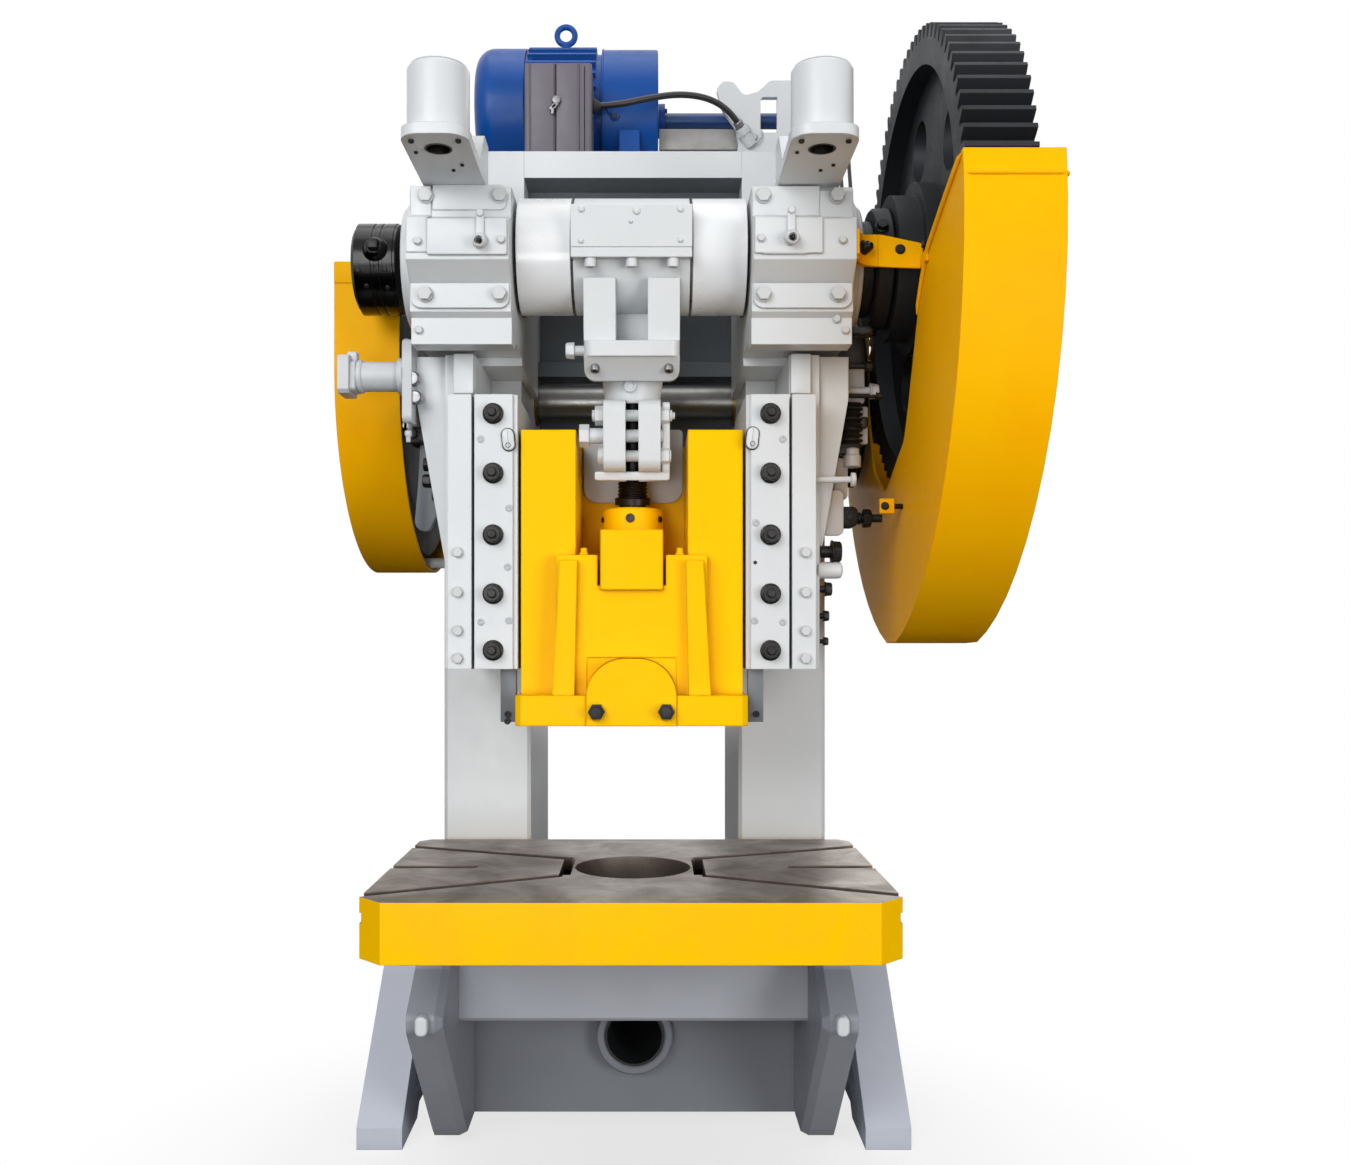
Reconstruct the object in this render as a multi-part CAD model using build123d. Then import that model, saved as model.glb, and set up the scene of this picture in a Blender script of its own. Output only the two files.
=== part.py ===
"""Open-back inclinable crank press, in millimetres.

X points to the right of the machine, Y to its rear and Z up. The origin is the centre of the
bolster's top face, on the ram's centre line. The ram is shown in the middle of its stroke, with
the crank pin turned to the front.
"""
from build123d import *
import math
import os

os.makedirs("parts", exist_ok=True)

# Overall layout
FLOOR_Z = -481.0
GAP = 0.3
RUN = 0.05
CRANK_Z = 879.0
THROW = 60.0
BALL_Z = 470.0

# Bolster
BOLSTER_W = 710.0
BOLSTER_D = 480.0
BOLSTER_T = 80.0
BOLSTER_HOLE_R = 85.0
BOLSTER_FRONT_CHAMFER = 34.0
BOLSTER_REAR_CHAMFER = 18.0
SLOT_W = 20.0
SLOT_DEPTH = 34.0
TEE_W = 34.0
TEE_H = 14.0
HOLE_STEP_DEPTH = 22.0
HOLE_STEP_W = 17.0
HOLE_STEP_HALF = 60.0
BOLSTER_SLOTS = (
    ((100, 68), (BOLSTER_W / 2 + 20, 178)),
    ((108, -66), (BOLSTER_W / 2 + 20, -202)),
    ((238, 0), (BOLSTER_W / 2 + 20, 0)),
)

# Base under the bolster
BED_T = 35.0
BED_FRONT = -112.0
BASE_OUT = 321.0
CHEEK_T = 51.0
FRAME_REAR = 630.0
BASE_BOTTOM = -464.0
NOSE_Y = -70.0
NOSE_Z = -199.0
BEAM_Y = 90.0
BEAM_T = 40.0
BEAM_BOTTOM = -257.0
PANEL_Y = 265.0
PANEL_T = 25.0
COLLAR_Z = -328.0
COLLAR_R = 64.0
COLLAR_HOLE_R = 50.0
COLLAR_LEN = 30.0
REAR_PANEL_T = 20.0
REAR_PANEL_Z = -395.0

# Legs and tilt pivot
LEG_IN = 370.0
LEG_OUT = 443.0
LEG_TOE_Y = 152.0
LEG_TOE_H = 35.0
LEG_HEEL_Y = 770.0
PIVOT_Y = 440.0
PIVOT_Z = -190.0
PIVOT_R = 26.0
PIVOT_BOSS_R = 60.0
CLAMP_RADIUS = 170.0
CLAMP_ANGLE = -60.0
TILT_MAX = 30.0
CLAMP_BOLT_R = 13.0

# Upright side frames
COLUMN_IN = 175.0
COLUMN_OUT = 321.0
COLUMN_FRONT = 260.0
HEAD_TOP = 1066.0
HEAD_FRONT = 30.0
HOUSING_IN = 163.0
HOUSING_OUT = 300.0
HOUSING_BOTTOM = 738.0
HOUSING_TOP = 951.0
GIB_BOTTOM = 295.0
GIB_TOP = 674.0
SEAT_Y = -72.0
RIB_OUT = 308.0
WALL_Y = 440.0
WALL_T = 30.0
WALL_BOTTOM = 430.0

# Guides
RAM_HALF = 154.0
GIB_IN = 158.0
GIB_OUT = 217.0
GIB_FRONT = -118.0
GIB_REAR = 110.0
STRIP_IN = 221.0
STRIP_OUT = 254.0
GIB_BOLT_X = 191.0
GIB_BOLT_Z = (647.0, 565.0, 480.0, 399.0, 321.0)
STRIP_BOLT_Z = (456.0, 401.0, 348.0, 310.0)
VEE_DEPTH = 22.0
VEE_HALF = 34.0

# Crankshaft and its bearings
JOURNAL_R = 55.0
BUSH_R = 68.0
PIN_R = 60.0
WEB_R = 80.0
WEB_IN = 84.0
WEB_OUT = 158.0
CAP_FRONT = -178.0
CAP_FLANGE = -148.0
BOSS_R = 95.0
BOSS_OUT = 318.0
CAP_BOLT_X = (178.0, 278.0)
CAP_BOLT_Z = (936.0, 802.0)
CAP_BOLT_REACH = (-66.0, 40.0)
CAP_BOLT_R = 6.0
CAP_LUG_FRONT = -153.0
DISC_R = 64.0
DISC_X = (-402.0, -332.0)
JOURNAL_END = 345.0
COLLAR_R_OUT = 68.0
SLEEVE_R = 86.0
WEB_TAIL_R = 59.0
GEAR_SEAT_R = 50.0

# Connecting rod, measured down from the strap's centre along the rod
STRAP_R = 80.0
STRAP_HALF = 80.0
ROD_BUSH_R = 66.0
ROD_FLANGE_HALF = 66.0
ROD_FLANGE_Z = (-143.0, -122.0)
ROD_SHOULDER = 32.0
ROD_ARM_TOP = -38.0
NECK_R = 44.0
CLAMP_Z = (-303.0, -199.0)
EAR_IN = 9.0
EAR_OUT = 40.0
SCREW_R = 20.0
BALL_R = 36.0
BALL_PLAY = 4.8
BALL_SEAT_Y = 4.0
CAP_HOLE_R = 33.0
ROD_SCREW_X = (-56.0, 0.0, 56.0)
ROD_SCREW_Y = -88.5
ROD_SCREW_R = 5.5
ROD_SCREW_HEAD_R = 8.0
ROD_LUG_Z = -13.0
ROD_LUG_FRONT = -98.0
CLAMP_CROSS = ((-60.0, -223.0, 8.0), (-60.0, -251.0, 9.0), (-60.0, -279.0, 8.0))

# Ram
RAM_BOTTOM = 219.0
RAM_TOP = 627.0
RAM_FRONT = -105.0
RAM_REAR = 125.0
PANEL_FRONT = -125.0
PANEL_HALF = 104.0
PANEL_TOP = 452.0
POCKET_HALF = 78.0
POCKET_BACK = 62.0
FOOT_FRONT = -150.0
FOOT_TOP = 260.0
SHANK_R = 25.0
SHANK_DEPTH = 80.0
BALL_BLOCK_HALF = 43.0
BALL_BLOCK_BOTTOM = 404.0
BALL_BLOCK_TOP = 486.0
BALL_CAP_R = 44.5
BALL_CAP_TOP = 526.0
PRY_SLOT_W = 4.0
SHANK_STUD_X = (-47.0, 47.0)
SHANK_STUD_Z = 239.0
CLAMP_HALF = 61.0
CLAMP_TOP = 310.0

# Balance cylinders
BALANCE_X = 240.0
BALANCE_Y = -274.0
BALANCE_R = 39.0
BALANCE_TOP = 1050.0
BALANCE_PORT_R = 16.0
BRACKET_T = 14.0

# Gears
MODULE = 8.0
GEAR_TEETH = 80
PINION_TEETH = 16
GEAR_X = (406.0, 497.0)
BACKLASH = 0.5
DRIVE_Z = 751.0
DRIVE_R = 30.0
DRIVE_BUSH_R = 42.0

# Flywheel and guards
BRAKE_Y = -68.0
BRAKE_Z = 708.0
WHEEL_R = 272.0
WHEEL_X = (-446.0, -368.0)
LEFT_GUARD_X = (-459.0, -359.0)
LEFT_GUARD_R = 300.0
LEFT_GUARD_BACK = 13.0
LEFT_GUARD_TOP = 914.0
GEAR_GUARD_X = (397.0, 520.0)
GUARD_SHEET = 5.0
GUARD_TOP = 923.0
GUARD_FRONT_R = 532.0
GUARD_REAR_R = 563.0

# Motor on top
MOTOR_RAIL_H = 54.0
MOTOR_PLATE_T = 16.0
MOTOR_PLATE_Z = HEAD_TOP + MOTOR_RAIL_H + MOTOR_PLATE_T
MOTOR_Y = 470.0
MOTOR_Z = MOTOR_PLATE_Z + 156.0
MOTOR_R = 124.0
COWL_R = 122.0
COWL_WALL = 5.0
EYE_X = -129.0
EYE_Z = MOTOR_Z + MOTOR_R + 34.0
EYE_R = 16.4
EYE_TUBE_R = 5.4
MOTOR_SHAFT_R = 14.0
MOTOR_FRAME_X = (-196.0, 41.0)
COWL_END = -287.0
TERMINAL_TOP = MOTOR_Z + 11.0
PULLEY_X = (340.0, 386.0)
MOTOR_PULLEY_R = 60.0
DRIVEN_PULLEY_R = 150.0
GROOVE_DEPTH = 11.0
BELT_TOP = 0.5
BELT_T = GROOVE_DEPTH - BELT_TOP - GAP

DRIVE_DISTANCE = MODULE * (GEAR_TEETH + PINION_TEETH) / 2
DRIVE_Y = math.sqrt(DRIVE_DISTANCE**2 - (CRANK_Z - DRIVE_Z) ** 2)
ROD_TILT = math.degrees(math.atan2(THROW, CRANK_Z - BALL_Z))
ROD_LENGTH = math.hypot(THROW, CRANK_Z - BALL_Z)
MESH_ANGLE = math.atan2(DRIVE_Z - CRANK_Z, DRIVE_Y)


# Drawing helpers
def block(x, y, z):
    """Box between two corners, each argument being a (low, high) pair."""
    size = [high - low for low, high in (x, y, z)]
    centre = [(high + low) / 2 for low, high in (x, y, z)]
    return Pos(*centre) * Box(*size)


def bar_x(x0, x1, y, z, r):
    """Round bar along X."""
    return Pos((x0 + x1) / 2, y, z) * Rot(0, 90, 0) * Cylinder(r, abs(x1 - x0))


def bar_y(x, z, y0, y1, r):
    """Round bar along Y."""
    return Pos(x, (y0 + y1) / 2, z) * Rot(90, 0, 0) * Cylinder(r, abs(y1 - y0))


def bar_z(x, y, z0, z1, r):
    """Upright round bar."""
    return Pos(x, y, (z0 + z1) / 2) * Cylinder(r, abs(z1 - z0))


def ring(x0, x1, y, z, outer, inner):
    """Ring about an axis along X."""
    return bar_x(x0, x1, y, z, outer) - bar_x(x0, x1, y, z, inner)


def outline(corners):
    """Flat face through (u, v) corners; a third value rounds that corner by its radius."""
    count = len(corners)
    starts = []
    ends = []
    arcs = []
    for i, corner in enumerate(corners):
        here = Vector(*corner[:2])
        radius = corner[2] if len(corner) > 2 else 0
        back = (Vector(*corners[i - 1][:2]) - here).normalized()
        ahead = (Vector(*corners[(i + 1) % count][:2]) - here).normalized()
        if radius:
            half = math.radians(back.get_angle(ahead)) / 2
            reach = radius / math.tan(half)
            middle = here + (back + ahead).normalized() * (radius / math.sin(half) - radius)
            starts.append(here + back * reach)
            ends.append(here + ahead * reach)
            arcs.append(ThreePointArc(starts[-1], middle, ends[-1]))
        else:
            starts.append(here)
            ends.append(here)
    lines = []
    for i in range(count):
        lines.append(Line(ends[i - 1], starts[i]))
    return make_face(lines + arcs)


def side_plate(corners, x0, x1):
    """Plate cut to a (Y, Z) outline, from x0 to x1."""
    return extrude(Plane.YZ.offset(x0) * outline(corners), amount=x1 - x0, dir=(1, 0, 0))


def front_plate(corners, y0, y1):
    """Plate cut to an (X, Z) outline, from y0 to y1."""
    return extrude(Plane.XZ.offset(-y0) * outline(corners), amount=y1 - y0, dir=(0, 1, 0))


def top_plate(corners, z0, z1):
    """Plate cut to an (X, Y) outline, from z0 to z1."""
    return extrude(Plane.XY.offset(z0) * outline(corners), amount=z1 - z0, dir=(0, 0, 1))


def hexagon(flats, length):
    """Hexagonal prism along Z, centred, measured across its flats."""
    return extrude(RegularPolygon(flats / 2, 6, major_radius=False), amount=length / 2, both=True)


def bolt(flats, head, shank_r, shank, washer_r=0.0, washer=0.0):
    """Hexagon bolt pointing down: the seat at Z 0, the head above and the shank below."""
    body = Pos(0, 0, washer + head / 2) * hexagon(flats, head)
    body += bar_z(0, 0, -shank, washer + head / 2, shank_r)
    if washer:
        body += bar_z(0, 0, 0, washer, washer_r)
    return body


def cap_screw(head_r, head, shank_r, shank):
    """Socket head screw pointing down, with its hexagon socket."""
    body = bar_z(0, 0, 0, head, head_r) + bar_z(0, 0, -shank, 0, shank_r)
    return body - Pos(0, 0, head * 0.75) * hexagon(head_r, head / 2)


FACING_FRONT = Rot(90, 0, 0)
FACING_DOWN = Rot(180, 0, 0)


def group(shapes):
    """Separate solids kept side by side in one node."""
    return Compound(children=list(shapes))


def mirrored(shape):
    """The same piece on the other side of the machine."""
    return mirror(shape, about=Plane.YZ)


# Bolster
def bolster():
    half_w = BOLSTER_W / 2
    half_d = BOLSTER_D / 2
    c = BOLSTER_FRONT_CHAMFER
    r = BOLSTER_REAR_CHAMFER
    body = top_plate(
        [(-half_w, -half_d + c), (-half_w + c, -half_d), (half_w - c, -half_d), (half_w, -half_d + c),
         (half_w, half_d - r), (half_w - r, half_d), (-half_w + r, half_d), (-half_w, half_d - r)],
        -BOLSTER_T, 0)
    body -= bar_z(0, 0, -BOLSTER_T, 0, BOLSTER_HOLE_R)
    for side in (-1, 1):
        step_x = sorted((side * (BOLSTER_HOLE_R + 3), side * (BOLSTER_HOLE_R + 3 + HOLE_STEP_W)))
        body -= block(step_x, (-HOLE_STEP_HALF, HOLE_STEP_HALF), (-HOLE_STEP_DEPTH, 0))
        for inner, outer in BOLSTER_SLOTS:
            body -= tee_slot((side * inner[0], inner[1]), (side * outer[0], outer[1]))
    return body


def tee_slot(inner, outer):
    """Tee slot from a rounded inner end out past the bolster's edge."""
    length = math.hypot(outer[0] - inner[0], outer[1] - inner[1])
    turn = math.degrees(math.atan2(outer[1] - inner[1], outer[0] - inner[0]))
    place = Pos(inner[0], inner[1], 0) * Rot(0, 0, turn)
    slot = place * block((0, length), (-SLOT_W / 2, SLOT_W / 2), (-SLOT_DEPTH, 0))
    slot += place * bar_z(0, 0, -SLOT_DEPTH, 0, SLOT_W / 2)
    slot += place * block((-TEE_W / 2, length), (-TEE_W / 2, TEE_W / 2), (-SLOT_DEPTH, TEE_H - SLOT_DEPTH))
    return slot


# Base
def bed_plate():
    corners = [(-BASE_OUT, BED_FRONT), (BASE_OUT, BED_FRONT), (BASE_OUT, FRAME_REAR), (-BASE_OUT, FRAME_REAR)]
    plate = top_plate(corners, -BOLSTER_T - BED_T, -BOLSTER_T)
    return plate - bar_z(0, 0, -BOLSTER_T - BED_T, -BOLSTER_T, BOLSTER_HOLE_R + 5)


def clamp_point(tilt):
    """Clamp bolt's (Y, Z) when the press leans back by tilt degrees."""
    a = math.radians(CLAMP_ANGLE - tilt)
    return PIVOT_Y + CLAMP_RADIUS * math.cos(a), PIVOT_Z + CLAMP_RADIUS * math.sin(a)


def base_cheek():
    top = -BOLSTER_T - BED_T
    inside = BASE_OUT - CHEEK_T
    corners = [
        (-20, top), (8, -146, 10), (NOSE_Y, NOSE_Z, 14), (NOSE_Y, NOSE_Z - 22, 14), (148, -446, 20),
        (168, BASE_BOTTOM), (470, BASE_BOTTOM, 30), (FRAME_REAR, -400, 20), (FRAME_REAR, top)]
    plate = side_plate(corners, inside, BASE_OUT)
    front = plate.edges().filter_by(lambda e: e.center().X < inside + 0.1 and e.center().Y < 150
                                    and e.center().Z < -150)
    plate = chamfer(front, 11)
    plate -= bar_x(inside - 1, BASE_OUT + 1, PIVOT_Y, PIVOT_Z, PIVOT_R + RUN)
    y, z = clamp_point(0)
    plate -= bar_x(inside - 1, BASE_OUT + 1, y, z, CLAMP_BOLT_R + RUN)
    return plate


def front_beam():
    inside = BASE_OUT - CHEEK_T
    top = -BOLSTER_T - BED_T
    corners = [(BEAM_Y, top), (BEAM_Y, BEAM_BOTTOM + 6), (BEAM_Y + 6, BEAM_BOTTOM),
               (BEAM_Y + BEAM_T, BEAM_BOTTOM), (BEAM_Y + BEAM_T, top)]
    return side_plate(corners, -inside, inside)


def lower_panel():
    inside = BASE_OUT - CHEEK_T
    panel = block((-inside, inside), (PANEL_Y, PANEL_Y + PANEL_T), (BASE_BOTTOM, -BOLSTER_T - BED_T))
    return panel - bar_y(0, COLLAR_Z, PANEL_Y, PANEL_Y + PANEL_T, COLLAR_HOLE_R)


def panel_collar():
    collar = bar_y(0, COLLAR_Z, PANEL_Y - COLLAR_LEN, PANEL_Y, COLLAR_R)
    collar -= bar_y(0, COLLAR_Z, PANEL_Y - COLLAR_LEN, PANEL_Y, COLLAR_HOLE_R)
    front = collar.edges().filter_by(lambda e: e.center().Y < PANEL_Y - COLLAR_LEN + 1)
    return chamfer(front, 3)


def rear_panel():
    """Panel that closes the rear of the base between the cheeks."""
    inside = BASE_OUT - CHEEK_T
    top = -BOLSTER_T - BED_T
    return block((-inside, inside), (FRAME_REAR - REAR_PANEL_T, FRAME_REAR), (REAR_PANEL_Z, top))


def nose_lugs():
    """Small rounded catch lugs on the nose of each cheek."""
    x = BASE_OUT - 24
    lug = front_plate([(x - 9, NOSE_Z - 24, 8), (x + 9, NOSE_Z - 24, 8), (x + 9, NOSE_Z + 4, 8),
                       (x - 9, NOSE_Z + 4, 8)], NOSE_Y - 16, NOSE_Y - RUN)
    lug = fillet(lug.edges().filter_by(lambda e: e.center().Y < NOSE_Y - 15.5), 4)
    return group([lug, mirrored(lug)])


# Legs
def leg():
    toe_top = FLOOR_Z + LEG_TOE_H
    corners = [
        (LEG_TOE_Y, FLOOR_Z), (LEG_TOE_Y, toe_top), (PIVOT_Y - 60, PIVOT_Z - 32), (PIVOT_Y - 50, PIVOT_Z),
        (PIVOT_Y + 50, PIVOT_Z), (LEG_HEEL_Y, toe_top, 20), (LEG_HEEL_Y, FLOOR_Z),
        (LEG_HEEL_Y - 110, FLOOR_Z), (LEG_HEEL_Y - 130, FLOOR_Z + 20), (LEG_TOE_Y + 150, FLOOR_Z + 20),
        (LEG_TOE_Y + 130, FLOOR_Z)]
    body = side_plate(corners, LEG_IN, LEG_OUT)
    body += bar_x(BASE_OUT + GAP, LEG_OUT, PIVOT_Y, PIVOT_Z, PIVOT_BOSS_R)
    rim = 26
    low = FLOOR_Z + 20 + rim
    pocket = [(LEG_TOE_Y + 92, low, 10), (PIVOT_Y - 55, PIVOT_Z - 90, 24), (PIVOT_Y + 50, PIVOT_Z - 80, 24),
              (LEG_HEEL_Y - 60, low, 10)]
    body -= side_plate(pocket, LEG_IN - 1, LEG_IN + 24)
    body -= side_plate(pocket, LEG_OUT - 24, LEG_OUT + 1)
    body += arc_slot(26, LEG_IN, LEG_OUT)
    body -= arc_slot(CLAMP_BOLT_R + 1, LEG_IN - 1, LEG_OUT + 1)
    return body - bar_x(BASE_OUT, LEG_OUT + 1, PIVOT_Y, PIVOT_Z, PIVOT_R + RUN)


def arc_slot(half, x0, x1):
    """Round-ended band along the clamp bolt's path, wide by twice half."""
    ends = [clamp_point(t) for t in (-1.0, TILT_MAX + 1.0)]
    inner = CLAMP_RADIUS - half
    outer = CLAMP_RADIUS + half
    a0 = CLAMP_ANGLE + 1.0
    a1 = CLAMP_ANGLE - TILT_MAX - 1.0
    whole = ring(x0, x1, PIVOT_Y, PIVOT_Z, outer, inner)
    far = 2 * outer
    wedge = [(PIVOT_Y, PIVOT_Z)]
    for a in (a0, (a0 + a1) / 2, a1):
        wedge.append((PIVOT_Y + far * math.cos(math.radians(a)), PIVOT_Z + far * math.sin(math.radians(a))))
    band = whole & side_plate(wedge, x0, x1)
    for y, z in ends:
        band += bar_x(x0, x1, y, z, half)
    return band


def pivot_pin():
    """Trunnion pin from the cheek out through the leg, with a washer and a nut."""
    pin = bar_x(BASE_OUT - CHEEK_T, LEG_OUT + 34, PIVOT_Y, PIVOT_Z, PIVOT_R)
    pin += bar_x(LEG_OUT + GAP, LEG_OUT + 7, PIVOT_Y, PIVOT_Z, 44)
    return pin + Pos(LEG_OUT + 20, PIVOT_Y, PIVOT_Z) * Rot(0, 90, 0) * hexagon(74, 26)


def clamp_bolt():
    """Bolt in the arc slot, which holds the lean."""
    y, z = clamp_point(0)
    body = bar_x(BASE_OUT - CHEEK_T - 18, LEG_OUT + 24, y, z, CLAMP_BOLT_R)
    body += bar_x(LEG_OUT + GAP, LEG_OUT + 5, y, z, 25)
    body += Pos(LEG_OUT + 13, y, z) * Rot(0, 90, 0) * hexagon(40, 16)
    body += Pos(BASE_OUT - CHEEK_T - 10, y, z) * Rot(0, 90, 0) * hexagon(40, 16)
    return body + bar_x(BASE_OUT + GAP, LEG_IN - GAP, y, z, 22)


# Side frames
def side_frame():
    """Right-hand upright: column, bearing housing and the arm that carries the guides."""
    column = block((COLUMN_IN, COLUMN_OUT), (COLUMN_FRONT, FRAME_REAR), (-BOLSTER_T, HEAD_TOP))
    column = chamfer(column.edges().filter_by(Axis.Z), 6)
    housing = side_plate(
        [(GAP, HOUSING_BOTTOM), (GAP, HOUSING_TOP), (HEAD_FRONT, HOUSING_TOP + 34), (HEAD_FRONT, HEAD_TOP),
         (COLUMN_FRONT, HEAD_TOP), (COLUMN_FRONT, HOUSING_BOTTOM)], HOUSING_IN, HOUSING_OUT)
    side_boss = bar_x(HOUSING_OUT, BOSS_OUT, 0, CRANK_Z, BOSS_R)
    side_boss &= block((HOUSING_OUT, BOSS_OUT), (GAP, BOSS_R), (CRANK_Z - BOSS_R, CRANK_Z + BOSS_R))
    arm = block((GIB_OUT + 5, 265), (SEAT_Y, COLUMN_FRONT), (GIB_BOTTOM, HOUSING_BOTTOM))
    web = block((COLUMN_IN, 265), (GIB_REAR + GAP, COLUMN_FRONT), (GIB_BOTTOM, HOUSING_BOTTOM))
    rib = front_plate([(265, HOUSING_BOTTOM), (RIB_OUT, HOUSING_BOTTOM), (RIB_OUT, HOUSING_BOTTOM - 60, 30),
                       (265, 434)], SEAT_Y + 12, COLUMN_FRONT)
    body = column + housing + side_boss + arm + web + rib
    body -= bar_x(HOUSING_IN - 1, BOSS_OUT + 1, 0, CRANK_Z, BUSH_R + RUN)
    body -= bar_x(COLUMN_IN - 1, COLUMN_OUT + 1, DRIVE_Y, DRIVE_Z, DRIVE_BUSH_R + RUN)
    for z in GIB_BOLT_Z:
        body -= bar_y(GIB_BOLT_X, z, GIB_REAR - 1, GIB_REAR + 32, 10 + RUN)
    for x in CAP_BOLT_X:
        body -= bar_y(x, CAP_BOLT_Z[1], -1, CAP_BOLT_REACH[1] + 1, CAP_BOLT_R + RUN)
    return body


def back_wall():
    """Wall that joins the two side frames behind the drive shaft."""
    wall = block((-COLUMN_IN, COLUMN_IN), (WALL_Y, WALL_Y + WALL_T), (WALL_BOTTOM, HEAD_TOP))
    shelf = block((-COLUMN_IN, COLUMN_IN), (WALL_Y - 60, WALL_Y), (800, 826))
    return wall + shelf


def head_beam():
    """Beam across the top of the head, with a lower recessed web behind its face."""
    beam = block((-HOUSING_IN, HOUSING_IN), (HEAD_FRONT, HEAD_FRONT + 90), (HEAD_TOP - 40, HEAD_TOP))
    behind = (HEAD_FRONT + 62, HEAD_FRONT + 90)
    web = block((-HOUSING_IN, HOUSING_IN), behind, (HEAD_TOP - 110, HEAD_TOP - 40))
    return beam + web - bar_y(-30, HEAD_TOP - 62, HEAD_FRONT, HEAD_FRONT + 91, 6)


def bearing_cap():
    """Right-hand front cap of the crank bearing."""
    corners = [
        (-GAP, HOUSING_TOP), (CAP_FLANGE + 8, HOUSING_TOP), (CAP_FLANGE, HOUSING_TOP - 8),
        (CAP_FLANGE, 908), (CAP_FRONT, 896), (CAP_FRONT, 842), (CAP_FLANGE, 818),
        (CAP_FLANGE, HOUSING_BOTTOM + 42), (CAP_FLANGE + 10, HOUSING_BOTTOM + 36),
        (CAP_FLANGE + 10, HOUSING_BOTTOM), (-100, HOUSING_BOTTOM), (-90, HOUSING_BOTTOM + 12),
        (-GAP, HOUSING_BOTTOM + 12)]
    body = side_plate(corners, HOUSING_IN, HOUSING_OUT)
    body += front_plate([(HOUSING_IN + 2, 784, 14), (HOUSING_OUT - 2, 784, 14), (HOUSING_OUT - 2, 817),
                         (HOUSING_IN + 2, 817)], CAP_LUG_FRONT, CAP_FLANGE)
    boss = bar_x(HOUSING_OUT, BOSS_OUT, 0, CRANK_Z, BOSS_R)
    boss &= block((HOUSING_OUT, BOSS_OUT), (-BOSS_R, -GAP), (CRANK_Z - BOSS_R, CRANK_Z + BOSS_R))
    body += boss
    body -= bar_x(HOUSING_IN - 1, BOSS_OUT + 1, 0, CRANK_Z, BUSH_R + RUN)
    body += block((HOUSING_IN + 12, HOUSING_IN + 70), (CAP_FRONT - 5, CAP_FRONT), (848, 894))
    for x in CAP_BOLT_X:
        for z, reach in zip(CAP_BOLT_Z, CAP_BOLT_REACH):
            body -= bar_y(x, z, CAP_LUG_FRONT - 1, reach + 1, CAP_BOLT_R + RUN)
    return body


def cap_bolts():
    """Long bolts below the bore, and short ones that hold the upper strip of the cap."""
    made = []
    for x in CAP_BOLT_X:
        for z, reach, seat in zip(CAP_BOLT_Z, CAP_BOLT_REACH, (CAP_FLANGE, CAP_LUG_FRONT)):
            made.append(Pos(x, seat, z) * FACING_FRONT * bolt(17, 8, CAP_BOLT_R, reach - seat, 11, 2.5))
    return made


def crank_bush():
    return ring(HOUSING_IN - 3, BOSS_OUT - 2, 0, CRANK_Z, BUSH_R, JOURNAL_R + RUN)


def bearing_cover():
    cover = ring(BOSS_OUT, BOSS_OUT + 8, 0, CRANK_Z, 88, JOURNAL_R + 1)
    return chamfer(cover.edges().filter_by(lambda e: e.center().X > BOSS_OUT + 7), 2)


# Crankshaft
def crankshaft():
    """Full length shaft: main journals, two long egg-shaped webs and the pin between them."""
    body = bar_x(DISC_X[1], DISC_X[1] + 700, 0, CRANK_Z, JOURNAL_R)
    body &= block((DISC_X[1], -WEB_IN - 5), (-100, 100), (CRANK_Z - 100, CRANK_Z + 100))
    body += bar_x(DISC_X[0] + 6, DISC_X[1], 0, CRANK_Z, 30)
    body += bar_x(WEB_IN + 5, JOURNAL_END, 0, CRANK_Z, JOURNAL_R)
    body += bar_x(JOURNAL_END, GEAR_X[1] + 1, 0, CRANK_Z, GEAR_SEAT_R)
    body += bar_x(-WEB_IN, WEB_IN, -THROW, CRANK_Z, PIN_R)
    lean = (WEB_R - WEB_TAIL_R) / THROW
    rise = math.sqrt(1 - lean**2)
    nose_y, nose_z = -THROW - WEB_R * lean, WEB_R * rise
    tail_y, tail_z = -WEB_TAIL_R * lean, WEB_TAIL_R * rise
    flank = [(nose_y, CRANK_Z + nose_z), (tail_y, CRANK_Z + tail_z),
             (tail_y, CRANK_Z - tail_z), (nose_y, CRANK_Z - nose_z)]
    for side in (-1, 1):
        x0, x1 = sorted((side * WEB_IN, side * WEB_OUT))
        body += bar_x(x0, x1, -THROW, CRANK_Z, WEB_R) + bar_x(x0, x1, 0, CRANK_Z, WEB_TAIL_R)
        body += side_plate(flank, x0, x1)
    return body


def crank_disc():
    """Black disc on the crankshaft's left end."""
    disc = ring(DISC_X[0], DISC_X[1] - GAP, 0, CRANK_Z, DISC_R, 30 + RUN)
    rim = disc.edges().filter_by(GeomType.CIRCLE).filter_by(lambda e: e.radius > 60)
    return chamfer(rim, 6)


def clutch_collar():
    """Black flanged collar keyed to the shaft beside the right bearing."""
    x0 = BOSS_OUT + 10
    return ring(x0, x0 + 16, 0, CRANK_Z, COLLAR_R_OUT, JOURNAL_R + RUN)


def clutch_sleeve():
    x0 = JOURNAL_END + GAP
    body = ring(x0, GEAR_X[0] - 34 - 2 * GAP, 0, CRANK_Z, SLEEVE_R, GEAR_SEAT_R + RUN)
    outer = body.edges().filter_by(GeomType.CIRCLE).filter_by(lambda e: e.radius > SLEEVE_R - 1)
    return chamfer(outer, 3)


def crank_end_plate():
    return bar_x(GEAR_X[1] + 1 + GAP, GEAR_X[1] + 9, 0, CRANK_Z, 60)


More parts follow.
